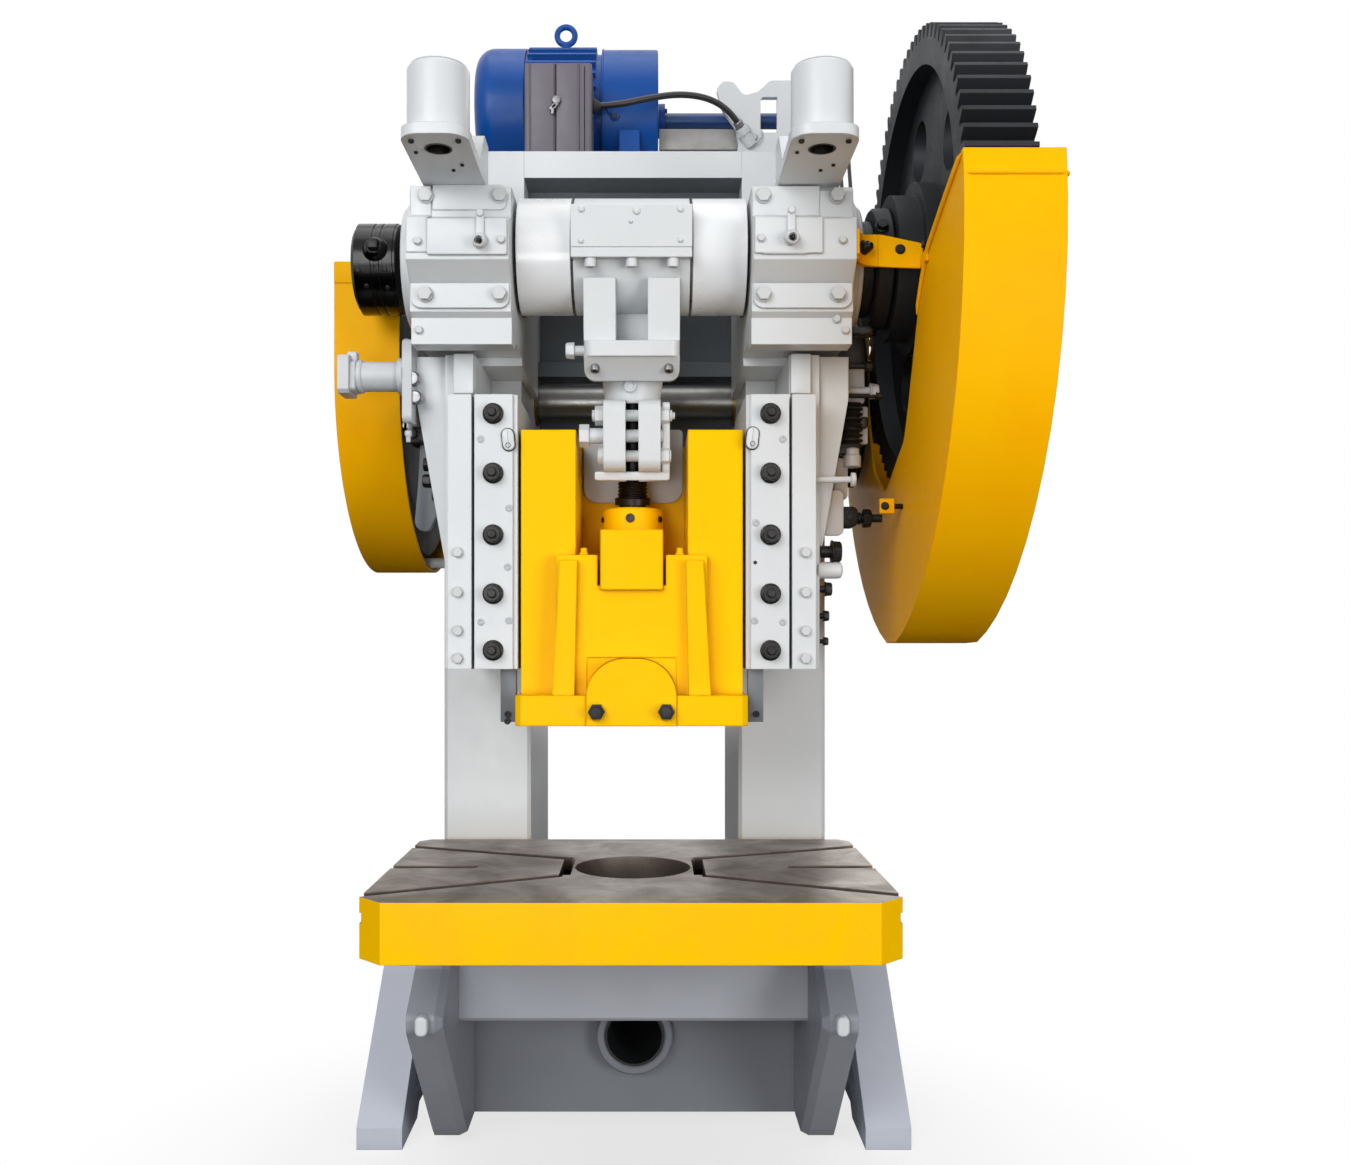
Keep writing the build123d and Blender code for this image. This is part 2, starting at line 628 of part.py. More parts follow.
# Gears
def gear_outline(teeth, phase):
    """Corners of a spur gear's tooth ring: involute flanks of 20 degrees in two steps each."""
    pitch = MODULE * teeth / 2
    base = pitch * math.cos(math.radians(20))
    tip = pitch + MODULE
    root = pitch - 1.25 * MODULE
    half_pitch_angle = (math.pi * MODULE / 2 - BACKLASH) / 2 / pitch
    roll = math.tan(math.radians(20)) - math.radians(20)
    corners = []
    for tooth in range(teeth):
        centre = phase + 2 * math.pi * tooth / teeth
        flank = []
        for radius in (max(root, base) + 0.3, pitch, tip):
            angle = math.acos(min(1.0, base / radius))
            inv = math.tan(angle) - angle
            flank.append((radius, half_pitch_angle + roll - inv))
        flank.insert(0, (root, flank[0][1] + 0.004))
        for radius, half in flank:
            corners.append((radius * math.cos(centre - half), radius * math.sin(centre - half)))
        for radius, half in reversed(flank):
            corners.append((radius * math.cos(centre + half), radius * math.sin(centre + half)))
    return corners


def toothed(teeth, phase, y, z, x0, x1):
    face = make_face(Polyline(*gear_outline(teeth, phase), close=True))
    return Pos(0, y, z) * extrude(Plane.YZ.offset(x0) * face, amount=x1 - x0, dir=(1, 0, 0))


def bull_gear():
    x0, x1 = GEAR_X
    body = toothed(GEAR_TEETH, MESH_ANGLE, 0, CRANK_Z, x0, x1)
    recess_out = MODULE * GEAR_TEETH / 2 - 44
    body -= ring(x0, x0 + 28, 0, CRANK_Z, recess_out, 122)
    body -= ring(x1 - 28, x1, 0, CRANK_Z, recess_out, 122)
    for i in range(6):
        a = math.radians(60 * i + 15)
        body -= bar_x(x0, x1, 200 * math.cos(a), CRANK_Z + 200 * math.sin(a), 45)
    body += bar_x(x0 - 34, x0, 0, CRANK_Z, 104)
    return body - bar_x(x0 - 35, x1 + 1, 0, CRANK_Z, 62 + RUN)


def gear_bush():
    return ring(GEAR_X[0] - 33, GEAR_X[1] - 1, 0, CRANK_Z, 62, GEAR_SEAT_R + RUN)


def pinion():
    gap_phase = MESH_ANGLE + math.pi + math.pi / PINION_TEETH
    body = toothed(PINION_TEETH, gap_phase, DRIVE_Y, DRIVE_Z, GEAR_X[0], GEAR_X[1])
    return body - bar_x(GEAR_X[0] - 1, GEAR_X[1] + 1, DRIVE_Y, DRIVE_Z, DRIVE_R + RUN)


def drive_shaft():
    body = bar_x(WHEEL_X[0] - 4, GEAR_X[1] + 8, DRIVE_Y, DRIVE_Z, DRIVE_R)
    ends = body.edges().filter_by(GeomType.CIRCLE)
    return chamfer(ends, 3)


def drive_bush():
    return ring(COLUMN_IN - 4, COLUMN_OUT + 4, DRIVE_Y, DRIVE_Z, DRIVE_BUSH_R, DRIVE_R + RUN)


def flywheel():
    x0, x1 = WHEEL_X
    body = bar_x(x0, x1, DRIVE_Y, DRIVE_Z, WHEEL_R)
    body -= ring(x0, x0 + 24, DRIVE_Y, DRIVE_Z, WHEEL_R - 48, 66)
    body -= ring(x1 - 24, x1, DRIVE_Y, DRIVE_Z, WHEEL_R - 48, 66)
    body = chamfer(body.edges().filter_by(GeomType.CIRCLE).filter_by(lambda e: e.radius > WHEEL_R - 1), 4)
    return body - bar_x(x0, x1, DRIVE_Y, DRIVE_Z, DRIVE_R + RUN)


def grooved_pulley(y, z, radius, bore, grooves=3):
    """Pulley with one vee groove for each belt."""
    x0, x1 = PULLEY_X
    step = (x1 - x0) / grooves
    profile = [(bore, x0), (radius, x0)]
    for i in range(grooves):
        start = x0 + i * step
        floor = radius - GROOVE_DEPTH
        profile += [(radius, start + 2), (floor, start + 5), (floor, start + step - 5),
                    (radius, start + step - 2)]
    profile += [(radius, x1), (bore, x1)]
    corners = []
    for corner in profile:
        if not corners or corner != corners[-1]:
            corners.append(corner)
    face = make_face(Polyline(*corners, close=True))
    turned = revolve(Plane.XY * face, axis=Axis.Y)
    return Pos(0, y, z) * Rot(0, 0, -90) * turned


def drive_belts():
    """Three vee belts, each a loop of constant section round both pulleys."""
    step = (PULLEY_X[1] - PULLEY_X[0]) / 3
    made = []
    for i in range(3):
        x0 = PULLEY_X[0] + i * step + 5.4
        x1 = PULLEY_X[0] + (i + 1) * step - 5.4
        outer = belt_loop(MOTOR_PULLEY_R - BELT_TOP, DRIVEN_PULLEY_R - BELT_TOP, x0, x1)
        inner = belt_loop(MOTOR_PULLEY_R - BELT_TOP - BELT_T, DRIVEN_PULLEY_R - BELT_TOP - BELT_T, x0, x1)
        made.append(outer - inner)
    return group(made)


def belt_loop(small, large, x0, x1):
    """Filled outline of a belt round the two pulleys."""
    dy = DRIVE_Y - MOTOR_Y
    dz = DRIVE_Z - MOTOR_Z
    distance = math.hypot(dy, dz)
    along = math.atan2(dz, dy)
    lean = math.acos((small - large) / distance)
    corners = []
    for (y, z), r in (((MOTOR_Y, MOTOR_Z), small), ((DRIVE_Y, DRIVE_Z), large)):
        for s in (1, -1):
            a = along + s * lean
            corners.append((y + r * math.cos(a), z + r * math.sin(a)))
    quad = [corners[0], corners[2], corners[3], corners[1]]
    loop = side_plate(quad, x0, x1)
    loop += bar_x(x0, x1, MOTOR_Y, MOTOR_Z, small)
    return loop + bar_x(x0, x1, DRIVE_Y, DRIVE_Z, large)


# Connecting rod
def on_rod(shape):
    """Moves a piece drawn with the strap's centre at the origin to its place on the rod."""
    return Pos(0, -THROW, CRANK_Z) * Rot(ROD_TILT, 0, 0) * shape


def rod_cap():
    body = ring(-STRAP_HALF, STRAP_HALF, 0, 0, STRAP_R, ROD_BUSH_R + RUN)
    body += block((-STRAP_HALF - 2, STRAP_HALF + 2), (ROD_LUG_FRONT, -30), (0, 56)) - bar_x(
        -STRAP_HALF - 2, STRAP_HALF + 2, 0, 0, ROD_BUSH_R + RUN)
    body &= block((-100, 100), (-100, 100), (0.2, 100))
    front = body.edges().filter_by(Axis.X).filter_by(lambda e: e.center().Y < -90 and e.center().Z > 50)
    body = fillet(front, 2)
    for x in ROD_SCREW_X:
        body -= bar_z(x, ROD_SCREW_Y, 0, 30, ROD_SCREW_R + RUN)
    return on_rod(body)


def connecting_rod():
    strap = ring(-STRAP_HALF, STRAP_HALF, 0, 0, STRAP_R, ROD_BUSH_R + RUN)
    lug = block((-STRAP_HALF - 2, STRAP_HALF + 2), (ROD_LUG_FRONT, -50), (ROD_LUG_Z, 0))
    strap = (strap + lug) & block((-100, 100), (-100, 100), (-100, -0.2))
    for side in (-1, 1):
        x0, x1 = sorted((side * 22, side * ROD_FLANGE_HALF))
        strap += block((x0, x1), (-82, 44), (ROD_FLANGE_Z[1], ROD_ARM_TOP))
    strap += block((-22, 22), (-14, 14), (ROD_FLANGE_Z[1], -70))
    half = ROD_FLANGE_HALF
    strap += top_plate([(-half, -90, 14), (half, -90, 14), (half, 70), (-half, 70)], *ROD_FLANGE_Z)
    low = ROD_FLANGE_Z[0] - ROD_SHOULDER
    sloped = side_plate([(-86, ROD_FLANGE_Z[0]), (-58, low), (-30, low), (-30, ROD_FLANGE_Z[0])], -half, half)
    strap += sloped & front_plate([(-half, low, 14), (half, low, 14), (half, 0), (-half, 0)], -100, 0)
    strap -= bar_x(-100, 100, 0, 0, ROD_BUSH_R + RUN)
    neck = Pos(0, 0, (ROD_FLANGE_Z[0] + CLAMP_Z[1]) / 2) * Cone(
        NECK_R - 4, NECK_R + 4, ROD_FLANGE_Z[0] - CLAMP_Z[1])
    barrel = bar_z(0, 0, CLAMP_Z[0], CLAMP_Z[1], NECK_R - 4)
    foot = bar_z(0, 0, CLAMP_Z[0] - 12, CLAMP_Z[0], NECK_R + 8)
    body = strap + neck + barrel + foot
    for side in (-1, 1):
        x0, x1 = sorted((side * EAR_IN, side * EAR_OUT))
        ear = side_plate([(-20, CLAMP_Z[0] + 2), (-82, CLAMP_Z[0] + 2, 18), (-82, CLAMP_Z[1] - 2, 18),
                          (-20, CLAMP_Z[1] - 2)], x0, x1)
        body += ear
    body -= block((-EAR_IN, EAR_IN), (-100, 0), (CLAMP_Z[0] - 13, CLAMP_Z[1] - 6))
    body -= bar_z(0, 0, CLAMP_Z[0] - 13, ROD_FLANGE_Z[0] - 10, SCREW_R + RUN)
    for x in ROD_SCREW_X:
        body -= bar_z(x, ROD_SCREW_Y, ROD_LUG_Z - 1, 1, ROD_SCREW_R + RUN)
        body -= bar_z(x, ROD_SCREW_Y, ROD_ARM_TOP, ROD_LUG_Z, ROD_SCREW_HEAD_R + 0.3)
    for y, z, r in CLAMP_CROSS:
        body -= bar_x(-EAR_OUT - 1, EAR_OUT + 1, y, z, r + RUN)
    return on_rod(body)


def rod_bush():
    return on_rod(ring(-STRAP_HALF, STRAP_HALF, 0, 0, ROD_BUSH_R, PIN_R + RUN))


def rod_screws():
    """Three screws under the strap's front lug."""
    made = []
    for x in ROD_SCREW_X:
        place = Pos(x, ROD_SCREW_Y, ROD_LUG_Z) * FACING_DOWN
        made.append(on_rod(place * cap_screw(ROD_SCREW_HEAD_R, 12, ROD_SCREW_R, 40)))
    return group(made)


def clamp_bolts():
    """Bolts that close the split clamp on the adjusting screw."""
    made = []
    y, z, r = CLAMP_CROSS[0]
    top = bar_x(-EAR_OUT - 16, EAR_OUT + 16, y, z, r)
    top += Pos(-EAR_OUT - 6, y, z) * Rot(0, 90, 0) * hexagon(24, 12)
    top += Pos(EAR_OUT + 6, y, z) * Rot(0, 90, 0) * hexagon(24, 12)
    made.append(on_rod(top))
    y, z, r = CLAMP_CROSS[1]
    middle = bar_x(-EAR_OUT - 34, EAR_OUT + 4, y, z, r)
    middle += bar_x(-EAR_OUT - 20, -EAR_OUT, y, z, 11)
    middle += Pos(-EAR_OUT - 27, y, z) * Rot(0, 90, 0) * hexagon(28, 14)
    made.append(on_rod(middle))
    y, z, r = CLAMP_CROSS[2]
    low = bar_x(-EAR_OUT - 8, EAR_OUT + 14, y, z, r)
    low += bar_x(-EAR_OUT - 8, -EAR_OUT, y, z, 13)
    low += Pos(EAR_OUT + 6, y, z) * Rot(0, 90, 0) * hexagon(24, 12)
    made.append(on_rod(low))
    return group(made)


def adjusting_screw():
    """Ball-ended screw that sets the rod's length."""
    top = CLAMP_Z[1] + 20
    body = bar_z(0, 0, -ROD_LENGTH + 20, top, SCREW_R)
    body += bar_z(0, 0, -ROD_LENGTH + 63, -ROD_LENGTH + 73, 26)
    body += Pos(0, 0, -ROD_LENGTH) * Sphere(BALL_R)
    return on_rod(body)


# Ram
def vee(tip, mouth, z0, z1):
    """Blunt vee rail or groove on the right side, from the mouth plane in to the tip plane."""
    slope = (VEE_HALF - 10) / VEE_DEPTH
    depth = mouth - tip
    return top_plate([(mouth, -10 - slope * depth), (tip, -10), (tip, 10), (mouth, 10 + slope * depth)],
                     z0, z1)


def ram():
    body = block((-RAM_HALF, RAM_HALF), (RAM_FRONT, RAM_REAR), (RAM_BOTTOM, RAM_TOP))
    body -= block((-POCKET_HALF, POCKET_HALF), (RAM_FRONT, POCKET_BACK), (PANEL_TOP - 60, RAM_TOP))
    panel = block((-PANEL_HALF, PANEL_HALF), (PANEL_FRONT, RAM_FRONT), (FOOT_TOP, PANEL_TOP))
    neck = block((-POCKET_HALF, POCKET_HALF), (RAM_FRONT, POCKET_BACK), (PANEL_TOP - 60, PANEL_TOP))
    body += panel + neck
    for side in (-1, 1):
        body += front_plate([(side * 74, PANEL_TOP - 8), (side * 98, PANEL_TOP - 8),
                             (side * 108, FOOT_TOP), (side * 78, FOOT_TOP)], PANEL_FRONT - 14, PANEL_FRONT)
    foot = block((-RAM_HALF - 4, RAM_HALF + 4), (FOOT_FRONT, RAM_REAR), (RAM_BOTTOM, FOOT_TOP))
    foot = chamfer(foot.edges().filter_by(Axis.Z), 8)
    body += foot
    groove = vee(RAM_HALF - VEE_DEPTH, RAM_HALF + 5, FOOT_TOP, RAM_TOP + 1)
    body -= groove + mirrored(groove)
    body -= block((-BALL_BLOCK_HALF - GAP, BALL_BLOCK_HALF + GAP), (PANEL_FRONT - 20, 60),
                  (BALL_BLOCK_BOTTOM, RAM_TOP))
    pry = BALL_BLOCK_HALF + PRY_SLOT_W
    body -= block((-pry, pry), (PANEL_FRONT - 20, PANEL_FRONT + 40), (BALL_BLOCK_BOTTOM + 6, PANEL_TOP + 1))
    body -= bar_z(0, 0, RAM_BOTTOM, RAM_BOTTOM + SHANK_DEPTH, SHANK_R)
    half = CLAMP_HALF + GAP
    body -= block((-half, half), (FOOT_FRONT - 1, -SHANK_R - 8), (RAM_BOTTOM, CLAMP_TOP + 1))
    return body


def ball_block():
    """Block that holds the ball seat, let into the ram's front."""
    half = BALL_BLOCK_HALF
    body = block((-half, half), (PANEL_FRONT - 10, 58), (BALL_BLOCK_BOTTOM + RUN, BALL_BLOCK_TOP))
    body = fillet(body.edges().filter_by(Axis.Z).filter_by(lambda e: e.center().Y < 0), 4)
    body -= Pos(0, BALL_SEAT_Y, BALL_Z) * Sphere(BALL_R + BALL_PLAY)
    return body - bar_z(0, BALL_SEAT_Y, BALL_Z, BALL_BLOCK_TOP + 1, BALL_R + BALL_PLAY)


def ball_cap():
    """Round retaining cap over the ball."""
    body = bar_z(0, 0, BALL_BLOCK_TOP + RUN, BALL_CAP_TOP, BALL_CAP_R)
    rim = body.edges().filter_by(GeomType.CIRCLE).filter_by(lambda e: e.center().Z > BALL_CAP_TOP - 1)
    body = chamfer(rim, 3)
    body -= Pos(0, BALL_SEAT_Y, BALL_Z) * Sphere(BALL_R + BALL_PLAY)
    return body - bar_z(0, -BALL_SEAT_Y, BALL_BLOCK_TOP + 1, BALL_CAP_TOP + 1, CAP_HOLE_R)


def pocket_plate():
    """Pale plate at the back of the pocket above the ball."""
    return front_plate([(-75, 542, 22), (75, 542, 22), (75, 653, 6), (-75, 653, 6)], POCKET_BACK - 6 - RUN,
                       POCKET_BACK - RUN)


def shank_clamp():
    """Half-round block that clamps the tool's shank against the ram."""
    arch = [(-CLAMP_HALF, RAM_BOTTOM), (CLAMP_HALF, RAM_BOTTOM), (CLAMP_HALF, CLAMP_TOP, 52),
            (-CLAMP_HALF, CLAMP_TOP, 52)]
    body = front_plate(arch, FOOT_FRONT - 4, -SHANK_R - 8 - GAP)
    for x in SHANK_STUD_X:
        body -= bar_y(x, SHANK_STUD_Z, FOOT_FRONT - 5, -30, 7 + RUN)
    return body


def shank_studs():
    made = []
    for x in SHANK_STUD_X:
        stud = bar_y(x, SHANK_STUD_Z, FOOT_FRONT - 22, -SHANK_R - 10, 7)
        stud += Pos(x, FOOT_FRONT - 10, SHANK_STUD_Z) * Rot(90, 0, 0) * hexagon(20, 11)
        made.append(stud)
    return group(made)


# Guides
def gib():
    body = block((GIB_IN, GIB_OUT), (GIB_FRONT, GIB_REAR), (GIB_BOTTOM, GIB_TOP))
    body += shrink_rail()
    body = body - block((GIB_IN - 1, GIB_IN + 6), (GIB_FRONT - 1, GIB_FRONT + 6), (GIB_BOTTOM, GIB_TOP))
    for z in GIB_BOLT_Z:
        body -= bar_y(GIB_BOLT_X, z, GIB_FRONT - 1, GIB_REAR + 1, 10 + RUN)
    return body


def shrink_rail():
    """The rail that runs in the ram's groove with a small gap on every face."""
    slope = (VEE_HALF - 10) / VEE_DEPTH
    tip = RAM_HALF - VEE_DEPTH + GAP
    side_gap = GAP * math.hypot(1, slope)
    grow = slope * (GIB_IN - RAM_HALF + VEE_DEPTH) - side_gap
    half = 10 - side_gap + slope * GAP
    corners = [(GIB_IN, -10 - grow), (tip, -half), (tip, half), (GIB_IN, 10 + grow)]
    return top_plate(corners, GIB_BOTTOM, RAM_TOP - 2)


def gib_strip():
    body = block((STRIP_IN, STRIP_OUT), (GIB_FRONT, SEAT_Y), (GIB_BOTTOM, GIB_TOP))
    for z in STRIP_BOLT_Z:
        body -= bar_y((STRIP_IN + STRIP_OUT) / 2 + 2, z, GIB_FRONT - 1, SEAT_Y + 1, 5 + RUN)
    return body


def gib_bolts():
    made = []
    for z in GIB_BOLT_Z:
        made.append(Pos(GIB_BOLT_X, GIB_FRONT, z) * FACING_FRONT * bolt(
            30, 13, 10, GIB_REAR - GIB_FRONT + 30, 19, 4))
    return made


def strip_bolts():
    made = []
    for z in STRIP_BOLT_Z:
        x = (STRIP_IN + STRIP_OUT) / 2 + 2
        made.append(Pos(x, GIB_FRONT, z) * FACING_FRONT * bolt(12, 5, 5, SEAT_Y - GIB_FRONT - 1, 8, 1.5))
    return made


# Balance cylinders
def balance_bracket():
    outline_xy = [(198, -100), (198, -323, 26), (282, -323, 26), (282, -100)]
    top = HOUSING_TOP + BRACKET_T
    body = top_plate(outline_xy, HOUSING_TOP, top)
    gusset = side_plate([(-100, top), (-190, top), (-140, top + 56), (-100, top + 56)], 200, 280)
    body += gusset - bar_z(BALANCE_X, BALANCE_Y, HOUSING_TOP, top + 76, BALANCE_R + 1)
    return body - bar_z(BALANCE_X, BALANCE_Y, HOUSING_TOP - 1, top + 1, BALANCE_PORT_R)


def balance_cylinder():
    z0 = HOUSING_TOP + BRACKET_T
    body = bar_z(BALANCE_X, BALANCE_Y, z0, BALANCE_TOP, BALANCE_R)
    body = fillet(body.edges().filter_by(GeomType.CIRCLE).filter_by(lambda e: e.center().Z > z0 + 1), 5)
    return body - bar_z(BALANCE_X, BALANCE_Y, z0, BALANCE_TOP - 12, BALANCE_PORT_R)


# Flywheel guard on the left
def left_guard():
    r = LEFT_GUARD_R
    x0, x1 = LEFT_GUARD_X
    y = DRIVE_Y + LEFT_GUARD_BACK
    filled = bar_x(x0, x1, y, DRIVE_Z, r)
    filled += block((x0, x1), (y - r, y + r), (DRIVE_Z, LEFT_GUARD_TOP))
    filled -= block((x0 - 1, x1 + 1), (y - r - 1, y + r + 1), (LEFT_GUARD_TOP, DRIVE_Z + r + 1))
    inner = r - GUARD_SHEET
    cavity = bar_x(x0 + GUARD_SHEET, x1 + 1, y, DRIVE_Z, inner)
    cavity += block((x0 + GUARD_SHEET, x1 + 1), (y - inner, y + inner), (DRIVE_Z, DRIVE_Z + r + 2))
    return filled - cavity


def guard_ties():
    """Round bars from the flywheel guard to the left column."""
    made = []
    reach = LEFT_GUARD_R - GUARD_SHEET - 9 - GAP
    for a in (-95, -40):
        y = DRIVE_Y + LEFT_GUARD_BACK + reach * math.cos(math.radians(a))
        z = DRIVE_Z + reach * math.sin(math.radians(a))
        made.append(bar_x(LEFT_GUARD_X[0] + GUARD_SHEET, -COLUMN_OUT, y, z, 9))
    return group(made)


# Gear guard on the right
def guard_outline(inset):
    """Corners of the gear guard's side: front arc, rear arc and an upright rear edge."""
    corners = []
    front_centre = (176.0, 847.0)
    r = GUARD_FRONT_R - inset
    for a in range(172, 262, 6):
        corners.append((front_centre[0] + r * math.cos(math.radians(a)),
                        front_centre[1] + r * math.sin(math.radians(a))))
    r = GUARD_REAR_R - inset
    for a in range(282, 336, 6):
        corners.append((r * math.cos(math.radians(a)), CRANK_Z + r * math.sin(math.radians(a))))
    corners.append((505.0 - inset, GUARD_TOP - 57))
    corners.append((505.0 - inset, GUARD_TOP + 400))
    corners.append((-346.0 + inset, GUARD_TOP + 400))
    return corners


def gear_guard():
    x0, x1 = GEAR_GUARD_X
    filled = side_plate(guard_outline(0), x0, x1)
    cavity = side_plate(guard_outline(GUARD_SHEET), x0 + GUARD_SHEET, x1 - GUARD_SHEET)
    shell = filled - cavity
    rear_top = GUARD_TOP - 57
    shell -= side_plate([(-400, GUARD_TOP), (-200, GUARD_TOP), (280, rear_top), (600, rear_top),
                         (600, 1500), (-400, 1500)], x0 - 1, x1 + 1)
    window = [(-341, GUARD_TOP + 40), (-341, GUARD_TOP - 2), (-242, 883, 60), (-173, 861, 20),
              (-109, 799, 40), (-38, 668, 60), (-10, 626, 30), (136, 563, 60), (232, 610, 60), (292, 720, 60),
              (298, rear_top - 60, 20), (298, GUARD_TOP + 40)]
    shell -= side_plate(window, x0 - 1, x0 + GUARD_SHEET + 1)
    return shell - bar_x(x0 - 1, x0 + GUARD_SHEET + 1, DRIVE_Y, DRIVE_Z, DRIVE_R + 8)


def guard_bracket():
    """Folded yellow sheet arm from the right bearing cap to the gear guard."""
    z0 = 846.0
    z1 = 888.0
    end = GEAR_GUARD_X[0] - RUN
    arm = front_plate([(HOUSING_OUT + RUN, z0, 8), (end, z0 - 4), (end, z1 - 12), (340, z1, 30),
                       (HOUSING_OUT + RUN, z1, 12)], -136, -132)
    arm += block((HOUSING_OUT + RUN, HOUSING_OUT + 4), (-176, -132), (z0 + 4, z1 - 4))
    return arm + block((end - 4, end), (-172, -132), (z0 - 4, 858))


# Motor
def motor_body():
    x0, x1 = MOTOR_FRAME_X
    body = bar_x(x0, x1, MOTOR_Y, MOTOR_Z, MOTOR_R - 12)
    fins = 30
    for i in range(fins):
        a = 360 / fins * i
        fin = block((x0 + 4, -70), (-2.5, 2.5), (MOTOR_R - 16, MOTOR_R))
        body += Pos(0, MOTOR_Y, MOTOR_Z) * Rot(a, 0, 0) * fin
    shield = bar_x(-60, x1, MOTOR_Y, MOTOR_Z, MOTOR_R - 4)
    body += fillet(shield.edges().filter_by(GeomType.CIRCLE).filter_by(lambda e: e.center().X > x1 - 1), 4)
    body += bar_x(x0 - 10, x0 + 14, MOTOR_Y, MOTOR_Z, COWL_R - COWL_WALL - GAP)
    for y in (MOTOR_Y - 110, MOTOR_Y + 70):
        for x in (-170, -10):
            body += block((x - 18, x + 18), (y, y + 40), (MOTOR_PLATE_Z, MOTOR_Z - 60))
    body += block((-192, 12), (MOTOR_Y - 116, MOTOR_Y + 116), (MOTOR_PLATE_Z, MOTOR_PLATE_Z + 14))
    return body


def motor_cowl():
    x0 = COWL_END
    x1 = MOTOR_FRAME_X[0]
    body = bar_x(x0, x1, MOTOR_Y, MOTOR_Z, COWL_R)
    body = fillet(body.edges().filter_by(GeomType.CIRCLE).filter_by(lambda e: e.center().X < x0 + 1), 34)
    inside = bar_x(x0 + COWL_WALL, x1, MOTOR_Y, MOTOR_Z, COWL_R - COWL_WALL)
    body -= fillet(inside.edges().filter_by(GeomType.CIRCLE).filter_by(lambda e: e.center().X < x0 + 6), 29)
    for radius in (28, 52, 76):
        for i in range(12):
            a = math.radians(30 * i)
            hole = bar_x(x0 - 1, x0 + 6, MOTOR_Y + radius * math.cos(a), MOTOR_Z + radius * math.sin(a), 5)
            body -= hole
    return body


def motor_nose():
    """Small bearing cap where the shaft leaves the motor."""
    x1 = MOTOR_FRAME_X[1]
    return ring(x1, x1 + 13, MOTOR_Y, MOTOR_Z, 30, MOTOR_SHAFT_R + RUN)


def motor_shaft():
    return bar_x(MOTOR_FRAME_X[1] + GAP, PULLEY_X[1], MOTOR_Y, MOTOR_Z, MOTOR_SHAFT_R)


def motor_pulley():
    return grooved_pulley(MOTOR_Y, MOTOR_Z, MOTOR_PULLEY_R, MOTOR_SHAFT_R + RUN)


def motor_plate():
    """Bench for the motor: a plate on two rails across the head."""
    depth = (MOTOR_Y - 140, MOTOR_Y + 140)
    body = block((-230, 330), depth, (MOTOR_PLATE_Z - MOTOR_PLATE_T, MOTOR_PLATE_Z))
    for side in (-1, 1):
        x0, x1 = sorted((side * 190, side * 230))
        body += block((x0, x1), depth, (HEAD_TOP, MOTOR_PLATE_Z - MOTOR_PLATE_T))
    return body


def terminal_box():
    body = block((-182, -75), (276, MOTOR_Y - 111), (MOTOR_Z - 107, TERMINAL_TOP - 3))
    body = fillet(body.edges().filter_by(Axis.Y), 10)
    return body - bar_x(-190, 45, MOTOR_Y, MOTOR_Z, MOTOR_R + 0.5)


def terminal_lid():
    body = block((-185, -72), (260, 276 - RUN), (MOTOR_Z - 110, TERMINAL_TOP))
    body = fillet(body.edges().filter_by(Axis.Y), 12)
    return fillet(body.edges().filter_by(lambda e: e.center().Y < 261), 5)


def eyebolt():
    top = MOTOR_Z + MOTOR_R
    shank = bar_z(EYE_X, MOTOR_Y, top, top + 4, 14) + bar_z(EYE_X, MOTOR_Y, top, EYE_Z - EYE_R, 8)
    eye = Pos(EYE_X, MOTOR_Y, EYE_Z) * Rot(90, 0, 0) * Torus(EYE_R, EYE_TUBE_R)
    return shank + eye


def shaft_bracket():
    """Upright white plate with a wavy top beside the motor's outer shaft."""
    z = MOTOR_Z
    corners = [(170, MOTOR_PLATE_Z), (290, MOTOR_PLATE_Z), (290, z + 50), (244, z + 50, 14),
               (222, z + 30, 16), (196, z + 22, 14), (176, z + 48, 12), (158, z + 48, 10),
               (146, z + 34, 8), (158, z - 4, 16), (182, z - 36, 24), (186, z - 66, 20)]
    body = front_plate(corners, MOTOR_Y - 58, MOTOR_Y - 46)
    return body - front_plate([(226, z - 44, 8), (256, z - 44), (256, z + 20), (226, z + 20, 6)],
                              MOTOR_Y - 60, MOTOR_Y - 40)


def pillow_block():
    """Outboard bearing of the motor's long shaft."""
    foot = MOTOR_PLATE_Z + 20
    corners = [(MOTOR_Y - 70, MOTOR_PLATE_Z), (MOTOR_Y + 70, MOTOR_PLATE_Z), (MOTOR_Y + 70, foot),
               (MOTOR_Y + 38, MOTOR_PLATE_Z + 40), (MOTOR_Y + 38, MOTOR_Z + 38, 36),
               (MOTOR_Y - 38, MOTOR_Z + 38, 36), (MOTOR_Y - 38, MOTOR_PLATE_Z + 40),
               (MOTOR_Y - 70, MOTOR_PLATE_Z + 20)]
    body = side_plate(corners, 298, 328)
    return body - bar_x(297, 329, MOTOR_Y, MOTOR_Z, MOTOR_SHAFT_R + RUN)


def shaft_bar():
    """Flat bar on the bracket's rear face, below the long shaft, that reaches the motor's end."""
    width = (MOTOR_FRAME_X[1] + 2, 220)
    return block(width, (MOTOR_Y - 46 + RUN, MOTOR_Y - 34), (MOTOR_Z - 70, MOTOR_Z - 33))


# Left lever cylinder
def brake_cylinder():
    body = bar_x(-396, -322, BRAKE_Y, BRAKE_Z, 21)
    return body + bar_x(-330, -322, BRAKE_Y, BRAKE_Z, 26)


def brake_cylinder_cap():
    cap = Pos(-404, BRAKE_Y, BRAKE_Z) * Rot(0, 90, 0) * Box(54, 54, 16)
    return chamfer(cap.edges().filter_by(Axis.X), 5)


